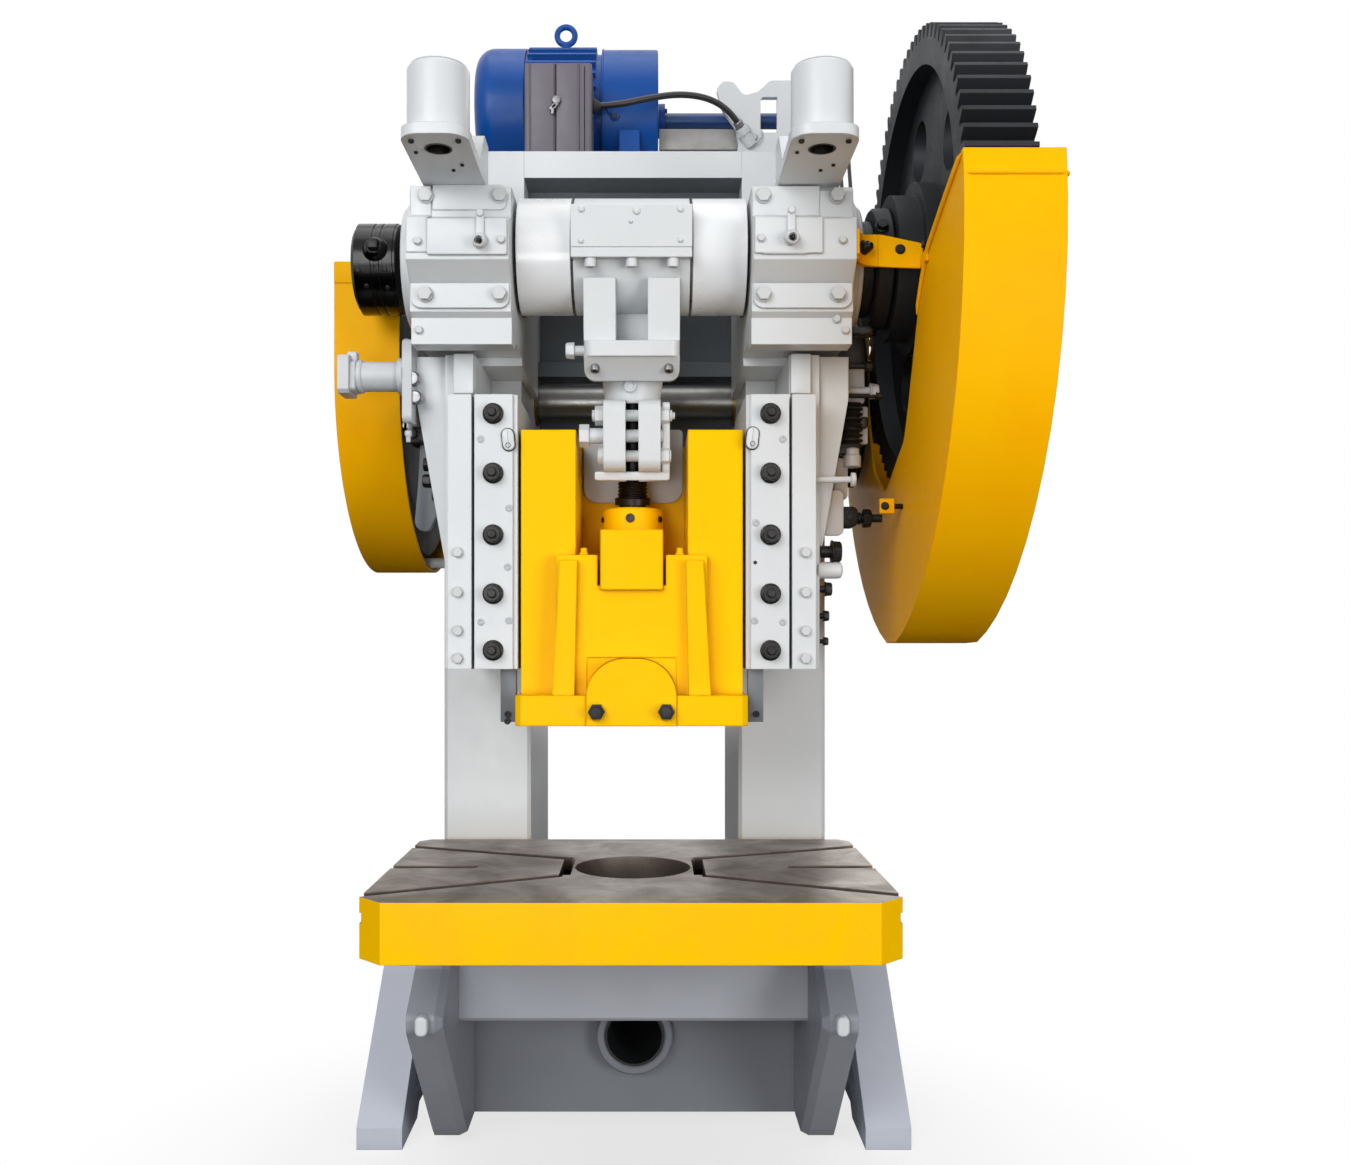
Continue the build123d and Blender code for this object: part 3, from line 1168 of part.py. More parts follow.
def brake_lever():
    """Curved plate that carries the small cylinder on the left of the head."""
    front = BRAKE_Y - 24
    top = HOUSING_BOTTOM + 20
    corners = [(front, 640, 10), (front + 48, 640, 10), (front + 62, 700, 30), (front + 48, top, 12),
               (front, top, 12)]
    return side_plate(corners, -322 + RUN, -RIB_OUT - GAP)


# Cable from the motor's terminal box to the gland on the shaft bracket
CABLE_R = 5.5
CABLE_POINTS = ((-72, -166, -42), (-34, -164, -40), (24, -150, -21), (82, -128, -4), (134, -108, -4),
                (172, -90, -22), (189, -76, -42))
CABLE_ROUTE = [(x, MOTOR_Y + y, MOTOR_Z + z) for x, y, z in CABLE_POINTS]
GLAND_LEN = 18.0


def cable_radii(points):
    """Largest tangent radius at each corner: 0.45 of the shorter run over the tangent of half the turn."""
    radii = []
    for before, here, after in zip(points, points[1:], points[2:]):
        a = Vector(*here) - Vector(*before)
        b = Vector(*after) - Vector(*here)
        turn = math.radians(a.get_angle(b))
        radii.append(0.45 * min(a.length, b.length) / math.tan(turn / 2))
    return radii


def motor_cable():
    radii = cable_radii(CABLE_ROUTE)
    path = FilletPolyline(*CABLE_ROUTE, radius=radii)
    start = Plane(origin=CABLE_ROUTE[0], z_dir=Vector(*CABLE_ROUTE[1]) - Vector(*CABLE_ROUTE[0]))
    cable = sweep(start * Circle(CABLE_R), path=path)
    length = path.length
    print("cable length", round(length, 1), "radii", [round(r) for r in radii])
    print("cable volume over section times length", round(cable.volume / (math.pi * CABLE_R**2 * length), 4))
    return cable


def cable_gland():
    """Gland on the bracket's face, turned along the end of the cable."""
    end = Vector(*CABLE_ROUTE[-1])
    run = (end - Vector(*CABLE_ROUTE[-2])).normalized()
    place = Plane(origin=end, z_dir=run)
    body = extrude(place * Circle(11), amount=GLAND_LEN * 2)
    body += extrude(place.offset(4) * RegularPolygon(14, 6), amount=9)
    behind = block((100, 300), (MOTOR_Y - 58, MOTOR_Y + 60), (MOTOR_Z - 180, MOTOR_Z + 110))
    return body - behind


def keep(name, shape):
    """Writes one sub-part's file."""
    export_step(shape, "parts/" + name + ".step")


def pair(name, shape):
    """Writes a right-hand piece and its mirror image."""
    keep(name + "_right", shape)
    keep(name + "_left", mirrored(shape))


def both(shapes):
    """Pieces of both sides together in one node."""
    return group(shapes + [mirrored(shape) for shape in shapes])


keep("bolster", bolster())
keep("bed_plate", bed_plate() + rear_panel())
pair("base_cheek", base_cheek())
keep("front_beam", front_beam())
keep("lower_panel", lower_panel() + panel_collar())
keep("nose_lugs", nose_lugs())
pair("leg", leg())
keep("pivot_pins", both([pivot_pin()]))
keep("clamp_bolts", both([clamp_bolt()]))
pair("side_frame", side_frame())
keep("head_walls", group([back_wall(), head_beam()]))
pair("bearing_cap", bearing_cap())
keep("bearing_bushes", both([crank_bush(), drive_bush()]))
keep("bearing_covers", both([bearing_cover()]))
keep("frame_bolts", both(cap_bolts() + strip_bolts()))
keep("crankshaft", crankshaft())
keep("crank_disc", crank_disc())
keep("clutch_sleeve", clutch_collar() + clutch_sleeve())
keep("crank_end_plate", crank_end_plate())
keep("bull_gear", bull_gear())
keep("gear_bush", gear_bush())
keep("pinion", pinion())
keep("drive_shaft", drive_shaft())
keep("flywheel", flywheel())
keep("driven_pulley", grooved_pulley(DRIVE_Y, DRIVE_Z, DRIVEN_PULLEY_R, DRIVE_R + RUN))
keep("drive_belts", drive_belts())
keep("connecting_rod", connecting_rod())
keep("rod_cap", rod_cap())
keep("rod_bush", rod_bush())
keep("rod_bolts", group([rod_screws(), clamp_bolts()]))
keep("adjusting_screw", adjusting_screw())
keep("ram", ram())
keep("ball_block", ball_block())
keep("ball_cap", ball_cap())
keep("pocket_plate", pocket_plate())
keep("shank_clamp", shank_clamp())
keep("ram_bolts", shank_studs())
pair("gib", gib())
keep("gib_strips", both([gib_strip()]))
keep("gib_bolts", both(gib_bolts()))
keep("balance_brackets", both([balance_bracket()]))
keep("balance_cylinders", both([balance_cylinder()]))
keep("flywheel_guard", left_guard())
keep("guard_ties", guard_ties())
keep("gear_guard", gear_guard())
keep("guard_bracket", guard_bracket())
keep("motor_plate", motor_plate())
keep("motor_body", group([motor_body() + motor_nose(), eyebolt()]))
keep("motor_cowl", motor_cowl())
keep("motor_shaft", group([motor_shaft(), motor_pulley()]))
keep("terminal_box", group([terminal_box(), terminal_lid()]))
keep("shaft_bracket", shaft_bracket() + cable_gland())
keep("pillow_block", group([pillow_block(), shaft_bar()]))
keep("motor_cable", motor_cable())
keep("brake_cylinder", brake_cylinder() + brake_cylinder_cap() + brake_lever())
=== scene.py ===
# %% [markdown]
# # Dressing a crank press
# The solids of this press come from a CAD program, so their sizes are already right. What they lack
# is everything that tells the eye what they are made of: enamel over cast iron, milled steel, black
# oxide, rubber, and the many small screws and fittings. This lesson adds them, one step at a time.
#
# The scene is in metres. X points to the right of the machine, Y to its rear and Z up, and the origin
# is the middle of the table's top face.

# %% Load the solids
import math

import bpy
import numpy as np
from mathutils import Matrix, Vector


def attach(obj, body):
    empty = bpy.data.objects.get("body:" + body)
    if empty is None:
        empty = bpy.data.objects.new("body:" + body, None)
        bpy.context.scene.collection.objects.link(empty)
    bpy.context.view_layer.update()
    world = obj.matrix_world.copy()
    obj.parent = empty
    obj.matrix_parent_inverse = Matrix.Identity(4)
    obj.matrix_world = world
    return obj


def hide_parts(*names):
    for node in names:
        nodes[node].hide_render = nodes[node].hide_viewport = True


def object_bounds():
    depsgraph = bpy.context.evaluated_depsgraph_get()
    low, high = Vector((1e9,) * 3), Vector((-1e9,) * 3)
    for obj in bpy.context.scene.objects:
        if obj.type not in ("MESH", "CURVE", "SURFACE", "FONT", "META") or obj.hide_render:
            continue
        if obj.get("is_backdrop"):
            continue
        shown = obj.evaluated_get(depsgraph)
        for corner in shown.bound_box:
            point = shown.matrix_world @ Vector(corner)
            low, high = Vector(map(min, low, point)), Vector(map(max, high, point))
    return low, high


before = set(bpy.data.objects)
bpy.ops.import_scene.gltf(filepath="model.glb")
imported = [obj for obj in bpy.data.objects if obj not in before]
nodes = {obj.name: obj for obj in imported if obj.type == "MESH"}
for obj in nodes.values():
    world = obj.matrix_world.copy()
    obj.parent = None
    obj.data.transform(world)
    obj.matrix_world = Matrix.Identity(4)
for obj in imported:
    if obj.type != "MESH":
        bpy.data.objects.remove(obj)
cad_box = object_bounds()

# %% [markdown]
# ## The camera
# The picture was taken from the front, level, at about the height of the ram's foot. A level camera
# keeps upright edges upright. The frame is moved a little with the lens shift, as an architect's
# camera does, because turning the camera would make the columns lean.

# %% Set up the camera
PICTURE_WIDTH = 1350
FOCAL_PIXELS = 1234
CAMERA_PLACE = (0.021, -1.818, 0.349)
camera_data = bpy.data.cameras.new("camera")
camera_data.sensor_width = 36.0
camera_data.lens = camera_data.sensor_width * FOCAL_PIXELS / PICTURE_WIDTH
camera_data.shift_x = 0.0207
camera_data.shift_y = 0.0352
camera = bpy.data.objects.new("camera", camera_data)
camera.location = CAMERA_PLACE
camera.rotation_euler = (math.radians(90), 0, 0)
bpy.context.scene.collection.objects.link(camera)
bpy.context.scene.camera = camera
bpy.context.scene.view_settings.view_transform = "Standard"
print("lens", round(camera_data.lens, 1), "mm")

# %% [markdown]
# ## Small tools
# A colour is written as the hex value that a paint program shows. Blender adds and mixes light, so it
# needs linear numbers, and one function turns the one into the other. A second function adds a node
# with all its settings and inputs in one call. The others are the few nodes that every recipe uses.

# %% Colour and node tools
MM = 0.001


def linear(code):
    """A hex colour as linear RGBA: c/12.92 below 0.04045, else ((c + 0.055)/1.055) to the 2.4."""
    c = np.array([int(code[i:i + 2], 16) for i in (1, 3, 5)]) / 255
    c = np.where(c <= 0.04045, c / 12.92, ((c + 0.055) / 1.055) ** 2.4)
    return (*c.tolist(), 1.0)


def add(tree, kind, inputs=(), **settings):
    """Adds a node. An input is a value, a node (its first output) or a pair (node, output)."""
    node = tree.nodes.new(kind)
    for name, value in settings.items():
        setattr(node, name, value)
    for socket, value in dict(inputs).items():
        source, output = value if isinstance(value, tuple) and len(value) == 2 else (value, 0)
        if isinstance(source, bpy.types.Node):
            tree.links.new(source.outputs[output], node.inputs[socket])
        else:
            node.inputs[socket].default_value = value
    return node


def recipe(name):
    """An empty material, its node tree, and the object's own coordinates for the patterns."""
    material = bpy.data.materials.new(name)
    material.use_nodes = True
    material.node_tree.nodes.clear()
    return material, material.node_tree, (add(material.node_tree, "ShaderNodeTexCoord"), "Object")


def noise(tree, place, size_mm, detail=2.0, rough=0.5, twist=0.0):
    """Soft random pattern whose lumps are about size_mm wide."""
    return add(tree, "ShaderNodeTexNoise", {"Vector": place, "Scale": 1 / (size_mm * MM), "Detail": detail,
                                            "Roughness": rough, "Distortion": twist})


def remap(tree, source, low, high, start, end):
    """Turns the range low to high into start to end, and holds the ends."""
    return add(tree, "ShaderNodeMapRange", {0: source, 1: low, 2: high, 3: start, 4: end})


def mix(tree, share, first, second):
    """Share 0 gives the first colour and 1 the second. A colour is a hex code or another mix."""
    colours = [linear(c) if isinstance(c, str) else (c, 2) for c in (first, second)]
    return add(tree, "ShaderNodeMix", {0: share, 6: colours[0], 7: colours[1]}, data_type="RGBA")


def maths(tree, how, *terms):
    """One step of arithmetic on numbers and nodes."""
    return add(tree, "ShaderNodeMath", dict(enumerate(terms)), operation=how)


def squeezed(tree, place, strokes):
    """The coordinates scaled along each axis, which turns a noise into strokes."""
    return add(tree, "ShaderNodeMapping", {"Vector": place, "Scale": strokes})


def corners(tree, reach_mm, open_at, most):
    """How shut in a point is: 0 in the open, and up to most in a corner of that reach."""
    # the recipes darken colour by this share: painted shade in corners and recesses
    nearby = add(tree, "ShaderNodeAmbientOcclusion", {"Distance": reach_mm * MM}, samples=6)
    return remap(tree, (nearby, "AO"), open_at, 0.2, 0.0, most)


def rounding(tree, radius_mm):
    """A normal that rounds every edge in the shading alone."""
    return add(tree, "ShaderNodeBevel", {"Radius": radius_mm * MM}, samples=4)


def bump(tree, height, strength, depth_mm, normal):
    """The normal, tilted as if the height stood out by the depth."""
    return add(tree, "ShaderNodeBump", {"Strength": strength, "Distance": depth_mm * MM, "Height": height,
                                        "Normal": normal})


def surface(tree, colour, rough, normal, **more):
    """The shader and the output that end a recipe."""
    inputs = {"Base Color": (colour, 2), "Roughness": rough, "Normal": normal}
    inputs.update({name.replace("_", " "): value for name, value in more.items()})
    shader = add(tree, "ShaderNodeBsdfPrincipled", inputs)
    add(tree, "ShaderNodeOutputMaterial", {"Surface": shader})


print("white enamel in linear light:", [round(c, 3) for c in linear("#E8EAEC")[:3]])

# %% [markdown]
# ## The studio
# The press stands on a white sweep of paper. The paper gets a little glow of its own that only the
# camera sees, so that it reads as white while the press still throws its soft shadow on it. Away from
# the press the glow takes over, so that no line shows where the floor ends. The world behind is white
# for the camera and in reflections, and a plain grey for the light it gives.

# %% Floor, world and lamps
FLOOR_Z = -0.481
FLOOR_CORNERS = [(-9, -7, FLOOR_Z), (9, -7, FLOOR_Z), (9, 9, FLOOR_Z), (-9, 9, FLOOR_Z)]
AMBIENT = 0.3
floor_mesh = bpy.data.meshes.new("floor")
floor_mesh.from_pydata(FLOOR_CORNERS, [], [(0, 1, 2, 3)])
floor = bpy.data.objects.new("floor", floor_mesh)
bpy.context.scene.collection.objects.link(floor)
floor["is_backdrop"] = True
paper, tree, place = recipe("white paper sweep")
rays = add(tree, "ShaderNodeLightPath")
matt = add(tree, "ShaderNodeBsdfDiffuse", {"Color": linear("#F4F4F4")})
glow = add(tree, "ShaderNodeEmission", {"Color": (1, 1, 1, 1), "Strength": (rays, "Is Camera Ray")})
away = add(tree, "ShaderNodeVectorMath", {0: place}, operation="LENGTH")
glow_share = add(tree, "ShaderNodeMapRange", {0: (away, "Value"), 1: 0.35, 2: 1.1, 3: 0.62, 4: 1.0},
                 interpolation_type="SMOOTHSTEP")
dim = add(tree, "ShaderNodeMixShader", {0: glow_share, 1: matt, 2: glow})
add(tree, "ShaderNodeOutputMaterial", {"Surface": dim})
floor_mesh.materials.append(paper)

world = bpy.data.worlds.new("studio")
bpy.context.scene.world = world
world.use_nodes = True
tree = world.node_tree
tree.nodes.clear()
rays = add(tree, "ShaderNodeLightPath")
seen = maths(tree, "MAXIMUM", (rays, "Is Camera Ray"), (rays, "Is Transmission Ray"))
seen = maths(tree, "MAXIMUM", seen, (rays, "Is Glossy Ray"))
skies = [add(tree, "ShaderNodeBackground", {"Color": (1, 1, 1, 1), "Strength": s}) for s in (AMBIENT, 1.0)]
both_skies = add(tree, "ShaderNodeMixShader", {0: seen, 1: skies[0], 2: skies[1]})
add(tree, "ShaderNodeOutputWorld", {"Surface": both_skies})


def softbox(name, place, aim, size, power):
    """A square lamp of that size in metres and power in watts, turned to face the aim point."""
    data = bpy.data.lights.new(name, "AREA")
    data.size = size
    data.energy = power
    lamp = bpy.data.objects.new(name, data)
    bpy.context.scene.collection.objects.link(lamp)
    lamp.location = place
    ahead = np.array(aim, float) - np.array(place, float)
    lamp.rotation_euler = (math.acos(-ahead[2] / np.linalg.norm(ahead)), 0, math.atan2(-ahead[0], ahead[1]))
    return lamp


softbox("key lamp", (-1.6, -3.3, 1.8), (0, 0, 0.6), 2.0, 74)
softbox("fill lamp", (2.4, -3.0, 0.4), (0, 0, 0.3), 1.6, 56)
softbox("low lamp", (-0.5, -3.5, 0.0), (0, 0, 0.0), 0.8, 24)
softbox("top lamp", (0.0, -0.1, 3.9), (0, 0.1, 0.8), 2.4, 28)
softbox("rear lamp", (1.5, 3.4, 2.2), (0, 0.3, 0.6), 2.4, 26)
print("lamps:", len(bpy.data.lights))

# %% [markdown]
# ## Enamel over cast iron
# The frame is iron cast in sand, filled, ground and brushed or sprayed with machine enamel. Enamel is
# not flat: it has a fine peel about two millimetres wide, and the casting under it swells and dips
# over a few centimetres. Corners are darkened in smeared patches, partly as dust and oil and partly as
# painted shade. A rounded edge also catches light, and the Bevel node fakes that rounding in the shading
# alone.

# %% The enamel recipe
PATCH_MM, SMEAR_MM, SWELL_MM, PEEL_MM = 140, 18, 38, 2.4
SWELL_DEPTH_MM, PEEL_DEPTH_MM, PEEL_STRENGTH = 1.2, 0.3, 0.05
# Corners darken towards this brown grey, partly as dirt and partly as painted shade.
DIRT_AND_SHADE_REACH_MM, DIRT_AND_SHADE = 26, "#4A443C"


def enamel(name, colour, deep, rough=0.28, wave=0.35, corner_dirt_and_shade=0.5, round_mm=2.2, shine=0.4, behind=None):
    """Two colours in soft patches, dirt and painted shade in corners, a fine peel and a wavy bed.

    Behind is (y, z, colour): that colour takes over past y and under z, as dark paint and painted shade.
    """
    material, t, place = recipe(name)
    patches = remap(t, noise(t, place, PATCH_MM, 4.0, 0.6), 0.35, 0.75, 0.0, 0.55)
    coat = mix(t, patches, colour, deep)
    if behind:
        axes = add(t, "ShaderNodeSeparateXYZ", {"Vector": place})
        past = maths(t, "GREATER_THAN", (axes, "Y"), behind[0])
        under = maths(t, "LESS_THAN", (axes, "Z"), behind[1])
        coat = mix(t, maths(t, "MAXIMUM", past, under), coat, behind[2])
    smear = noise(t, place, SMEAR_MM, 5.0, 0.65)
    # corners darkened in smeared patches: partly dirt, partly painted shade
    dirt_and_shade_share = maths(t, "MULTIPLY", corners(t, DIRT_AND_SHADE_REACH_MM, 0.75, corner_dirt_and_shade), smear)
    soiled_and_shaded = mix(t, dirt_and_shade_share, coat, DIRT_AND_SHADE)
    bed = bump(t, noise(t, place, SWELL_MM), wave, SWELL_DEPTH_MM, rounding(t, round_mm))
    skin = bump(t, noise(t, place, PEEL_MM, 1.0), PEEL_STRENGTH, PEEL_DEPTH_MM, bed)
    surface(t, soiled_and_shaded, remap(t, smear, 0.3, 0.7, rough, rough + 0.14), skin, IOR=1.5, Specular_IOR_Level=shine)
    return material


materials_before = len(bpy.data.materials)
WHITE = ("#D6D9DB", "#CED2D5")
# Behind the crossbeam and under its foot the colour turns dark grey: partly paint, partly painted shade.
WALL_BACK_Y, BEAM_FOOT_Z = 0.125, 1.0262
white_enamel = enamel("white machine enamel on cast iron", *WHITE)
wall_enamel = enamel("white enamel crossbeam and dark grey inner walls", *WHITE,
                     behind=(WALL_BACK_Y, BEAM_FOOT_Z, "#6A7076"))
yellow_enamel = enamel("yellow machine enamel on cast iron", "#FFC800", "#FFBE00", 0.32, round_mm=4,
                       shine=0.05)
guard_enamel = enamel("yellow enamel on sheet steel", "#FFBC00", "#FFAA00", 0.36, 0.1, 0.6, shine=0.06)
base_enamel = enamel("grey machine enamel on welded plate", "#94979F", "#888B93", 0.34)
# The bed plate and front beam take a lighter copy of the grey enamel, a painted light, and the set back lower
# panel a darker copy, a painted shade.
lit_grey_enamel = enamel("grey machine enamel, lighter copy as painted light", "#B4B7BE", "#A8ABB3", 0.34)
shaded_grey_enamel = enamel("grey machine enamel, darker copy as painted shade", "#7C7F85", "#74777E", 0.36)
leg_enamel = enamel("blue grey machine enamel on plate", "#C2C6D2", "#B6BAC8", 0.36)
light_enamel = enamel("light grey machine enamel", "#C4C7CA", "#B4B7BC", 0.32)
bolt_enamel = enamel("grey white enamel brushed over bolts", "#CFD1D2", "#B9BBBC", 0.34, round_mm=1,
                     shine=0.3)
blue_enamel = enamel("blue motor enamel on cast iron", "#084C9C", "#07408A", shine=0.25)
stop_enamel = enamel("dark grey machine enamel", "#6E7378", "#60656A", 0.36)
brown_enamel = enamel("warm grey enamel on sheet steel", "#6C6770", "#5E5A62", 0.36)
black_gloss = enamel("black gloss enamel on turned iron", "#020203", "#050506", 0.12, 0.05, 0.0, shine=0.3)
print("enamels:", len(bpy.data.materials) - materials_before)

# %% [markdown]
# ## Bare metal
# Bare parts show how they were cut. A turned face has rings, a milled face has long parallel strokes,
# and a noise that is squeezed along one direction gives both. Black oxide makes the screws dark but
# still metallic, and the corners of all bare parts are darkened towards near black, a painted shade.

# %% The metal recipe
# The near black that corners of bare metal darken towards is a painted shade.
CUT_DEPTH_MM, STAIN_MM, METAL_SHADE_REACH_MM, METAL_CORNER_SHADE = 0.2, 60, 12, "#14110E"


def metal(name, colour, deep, rough, strokes=(1.0, 1.0, 1.0), stroke_mm=1.6, depth=0.12, metallic=1.0):
    """Cut metal: two colours and two roughnesses mixed by strokes, a noise squeezed along an axis."""
    material, t, place = recipe(name)
    lines = noise(t, squeezed(t, place, strokes), stroke_mm, 3.0, 0.6)
    both = maths(t, "MULTIPLY_ADD", lines, 0.5, noise(t, place, STAIN_MM, 5.0, 0.65))
    tint = mix(t, remap(t, both, 0.5, 1.0, 0.0, 1.0), colour, deep)
    # corners darkened towards near black: a painted shade
    corner_shaded_tint = mix(t, corners(t, METAL_SHADE_REACH_MM, 0.8, 0.6), tint, METAL_CORNER_SHADE)
    cut = bump(t, lines, depth, CUT_DEPTH_MM, rounding(t, 1.2))
    surface(t, corner_shaded_tint, remap(t, both, 0.4, 1.0, rough, rough + 0.18), cut, Metallic=metallic)
    return material


materials_before = len(bpy.data.materials)
LATHE_RINGS, BORE_RINGS = (8.0, 1.0, 1.0), (1.0, 1.0, 6.0)
turned_steel = metal("turned steel, lightly oiled", "#9A9A98", "#7C7A78", 0.28, LATHE_RINGS)
dark_steel = metal("black oxide steel", "#3C3B3B", "#252424", 0.34, stroke_mm=3.0, metallic=0.85)
oiled_thread = metal("oiled steel thread", "#3A3836", "#1E1C1A", 0.3, BORE_RINGS)
dark_iron = metal("dark painted gear iron", "#22262A", "#181B1F", 0.42, stroke_mm=5, depth=0.2, metallic=0.35)
wheel_iron = metal("black painted cast iron", "#26282B", "#1A1B1E", 0.45, stroke_mm=5, depth=0.2,
                   metallic=0.2)
bright_fitting = metal("zinc plated steel", "#98989A", "#76767A", 0.4, stroke_mm=4.0, depth=0.05)
liner_steel = metal("oiled bore liner", "#4C4A47", "#2A2826", 0.35, BORE_RINGS, 3.0)
bronze_bush = metal("turned bronze", "#A98A4C", "#7E6434", 0.3, LATHE_RINGS)
print("metals:", len(bpy.data.materials) - materials_before)

# %% [markdown]
# ## Rubber
# The belts and the cable's jacket are black rubber: no metal, a broad soft highlight, and a fine grain.

# %% The rubber recipe
def rubber(name, colour, rough, grain_mm):
    """Moulded rubber: one dark colour, a rough skin and a fine even grain."""
    material, t, place = recipe(name)
    grain = noise(t, place, grain_mm)
    skin = add(t, "ShaderNodeBump", {"Strength": 0.2, "Distance": 0.2 * MM, "Height": grain})
    surface(t, mix(t, grain, colour, "#262626"), rough, skin, IOR=1.52)
    return material


cable_rubber = rubber("black rubber cable jacket", "#101011", 0.35, 1.5)
belt_rubber = rubber("black rubber belt", "#141414", 0.6, 2.0)
print("rubbers:", cable_rubber.name, "and", belt_rubber.name)

# %% [markdown]
# ## The table's two finishes
# The table is one casting with two looks: its top, tee slots and bore are milled bare steel, brown
# with old oil, and its outer sides are yellow enamel. One material can hold both. The sides are found
# from the place alone: a point is on a side if it lies on the table's outline, and the outline is five
# straight lines on each half, so the largest of five signed distances tells.

# %% The table material
HALF_WIDTH, HALF_DEPTH = 0.3546, 0.2396
FRONT_CORNER, REAR_CORNER = 0.5604, 0.5764
MILLING_MM, MILLING_STRETCH = 2.5, (0.08, 1.0, 1.0)
# TABLE_OIL_MM sizes the real oil stains; the corners darken towards near black as painted shade.
TABLE_OIL_MM, TABLE_SHADE_REACH_MM, TABLE_CORNER_SHADE = 90, 18, "#1C1815"


def table_finish(name):
    """Yellow where the largest distance past the outline's lines is above zero, milled steel elsewhere."""
    material, t, place = recipe(name)
    axes = add(t, "ShaderNodeSeparateXYZ", {"Vector": place})
    across = maths(t, "ABSOLUTE", (axes, "X"))
    ahead = maths(t, "MULTIPLY", (axes, "Y"), -1.0)
    most = maths(t, "SUBTRACT", across, HALF_WIDTH)
    front_slant, rear_slant = maths(t, "ADD", across, ahead), maths(t, "ADD", across, (axes, "Y"))
    for line, limit in ((ahead, HALF_DEPTH), ((axes, "Y"), HALF_DEPTH),
                        (front_slant, FRONT_CORNER), (rear_slant, REAR_CORNER)):
        most = maths(t, "MAXIMUM", most, maths(t, "SUBTRACT", line, limit))
    side = maths(t, "GREATER_THAN", most, 0.0)
    milled = noise(t, squeezed(t, place, MILLING_STRETCH), MILLING_MM, 3.0)
    oil = noise(t, place, TABLE_OIL_MM, 6.0, 0.62, 0.6)
    stain = remap(t, oil, 0.38, 0.66, 0.0, 1.0)
    hue = mix(t, side, mix(t, stain, "#8C8279", "#655B53"), mix(t, stain, "#FFC600", "#FFC000"))
    # corners, tee slots and the bore darken towards near black: a painted shade
    shade = mix(t, corners(t, TABLE_SHADE_REACH_MM, 0.8, 0.8), hue, TABLE_CORNER_SHADE)
    worn = remap(t, oil, 0.3, 0.7, 0.34, 0.5)
    rough = maths(t, "MULTIPLY_ADD", side, -0.12, worn)
    cut = bump(t, milled, 0.1, CUT_DEPTH_MM, rounding(t, 1.5))
    bare = maths(t, "SUBTRACT", 1.0, side)
    surface(t, shade, rough, cut, Metallic=bare, Anisotropic=0.3, Specular_IOR_Level=0.15)
    return material


table_steel = table_finish("milled table steel with yellow enamel sides")
print("the table's recipe has", len(table_steel.node_tree.nodes), "nodes")

# %% [markdown]
# ## Half painted shafts
# The crankshaft is painted white between its bearings and bare beyond them, and the motor's shaft is
# painted blue up to its bearing. Where the paint stops is a distance along X, so a step of X chooses.

# %% Shaft materials
RING_MM, SHEEN_MM, RING_SHADE = 2, 70, "#5C5A58"


def half_painted(name, colour, limit, bare, rough=0.3):
    """Paint where the distance |X| is below the limit in metres, turned metal beyond it."""
    material, t, place = recipe(name)
    axes = add(t, "ShaderNodeSeparateXYZ", {"Vector": place})
    metallic = maths(t, "GREATER_THAN", maths(t, "ABSOLUTE", (axes, "X")), limit)
    lines = noise(t, squeezed(t, place, LATHE_RINGS), RING_MM, 3.0)
    hue = mix(t, metallic, colour, mix(t, lines, bare, RING_SHADE))
    sheen = remap(t, noise(t, place, SHEEN_MM, 4.0), 0.3, 0.7, rough - 0.06, rough + 0.08)
    surface(t, hue, sheen, bump(t, lines, 0.06, CUT_DEPTH_MM, rounding(t, 1.5)), Metallic=metallic)
    return material


WEB_END_X, SHAFT_PAINT_END_X = 0.162, 0.296
crank_finish = half_painted("white enamel webs and turned steel journals", "#E4E6E8", WEB_END_X, "#8E8C8A",
                            rough=0.22)
motor_shaft_finish = half_painted("blue enamel shaft and steel pulley", "#123C74", SHAFT_PAINT_END_X,
                                  "#6E6C6A")
print("half painted:", crank_finish.name, "and", motor_shaft_finish.name)

# %% [markdown]
# ## Dress the solids
# A node that came from the CAD program keeps its mesh. It only gets a finish in its material slot.
# Its triangles are loose, so a modifier first merges their corners and then smooths every edge that
# turns less than 32 degrees, which makes drums round and leaves the corners of the castings sharp.

# %% Finish per node
MERGE_DISTANCE, SHARP_DEGREES = 0.00002, 32
FINISHES = {
    wall_enamel: "head_walls",
    white_enamel: """side_frame_left side_frame_right bearing_cap_left bearing_cap_right
        bearing_covers gib_left gib_right gib_strips balance_brackets balance_cylinders guard_ties
        shaft_bracket motor_plate nose_lugs connecting_rod rod_cap rod_bolts""",
    yellow_enamel: "ram ball_block ball_cap shank_clamp",
    guard_enamel: "flywheel_guard gear_guard guard_bracket",
    base_enamel: "base_cheek_left base_cheek_right",
    lit_grey_enamel: "bed_plate front_beam",
    shaded_grey_enamel: "lower_panel",
    leg_enamel: "leg_left leg_right",
    light_enamel: "pocket_plate brake_cylinder",
    blue_enamel: "motor_body motor_cowl",
    brown_enamel: "terminal_box",
    black_gloss: "crank_disc",
    turned_steel: "pivot_pins drive_shaft crank_end_plate pillow_block",
    bolt_enamel: "frame_bolts",
    dark_steel: "gib_bolts clamp_bolts ram_bolts pinion",
    oiled_thread: "adjusting_screw",
    dark_iron: "bull_gear clutch_sleeve",
    wheel_iron: "flywheel driven_pulley",
    bronze_bush: "bearing_bushes gear_bush rod_bush",
    cable_rubber: "motor_cable",
    belt_rubber: "drive_belts",
    table_steel: "bolster",
    crank_finish: "crankshaft",
    motor_shaft_finish: "motor_shaft",
}

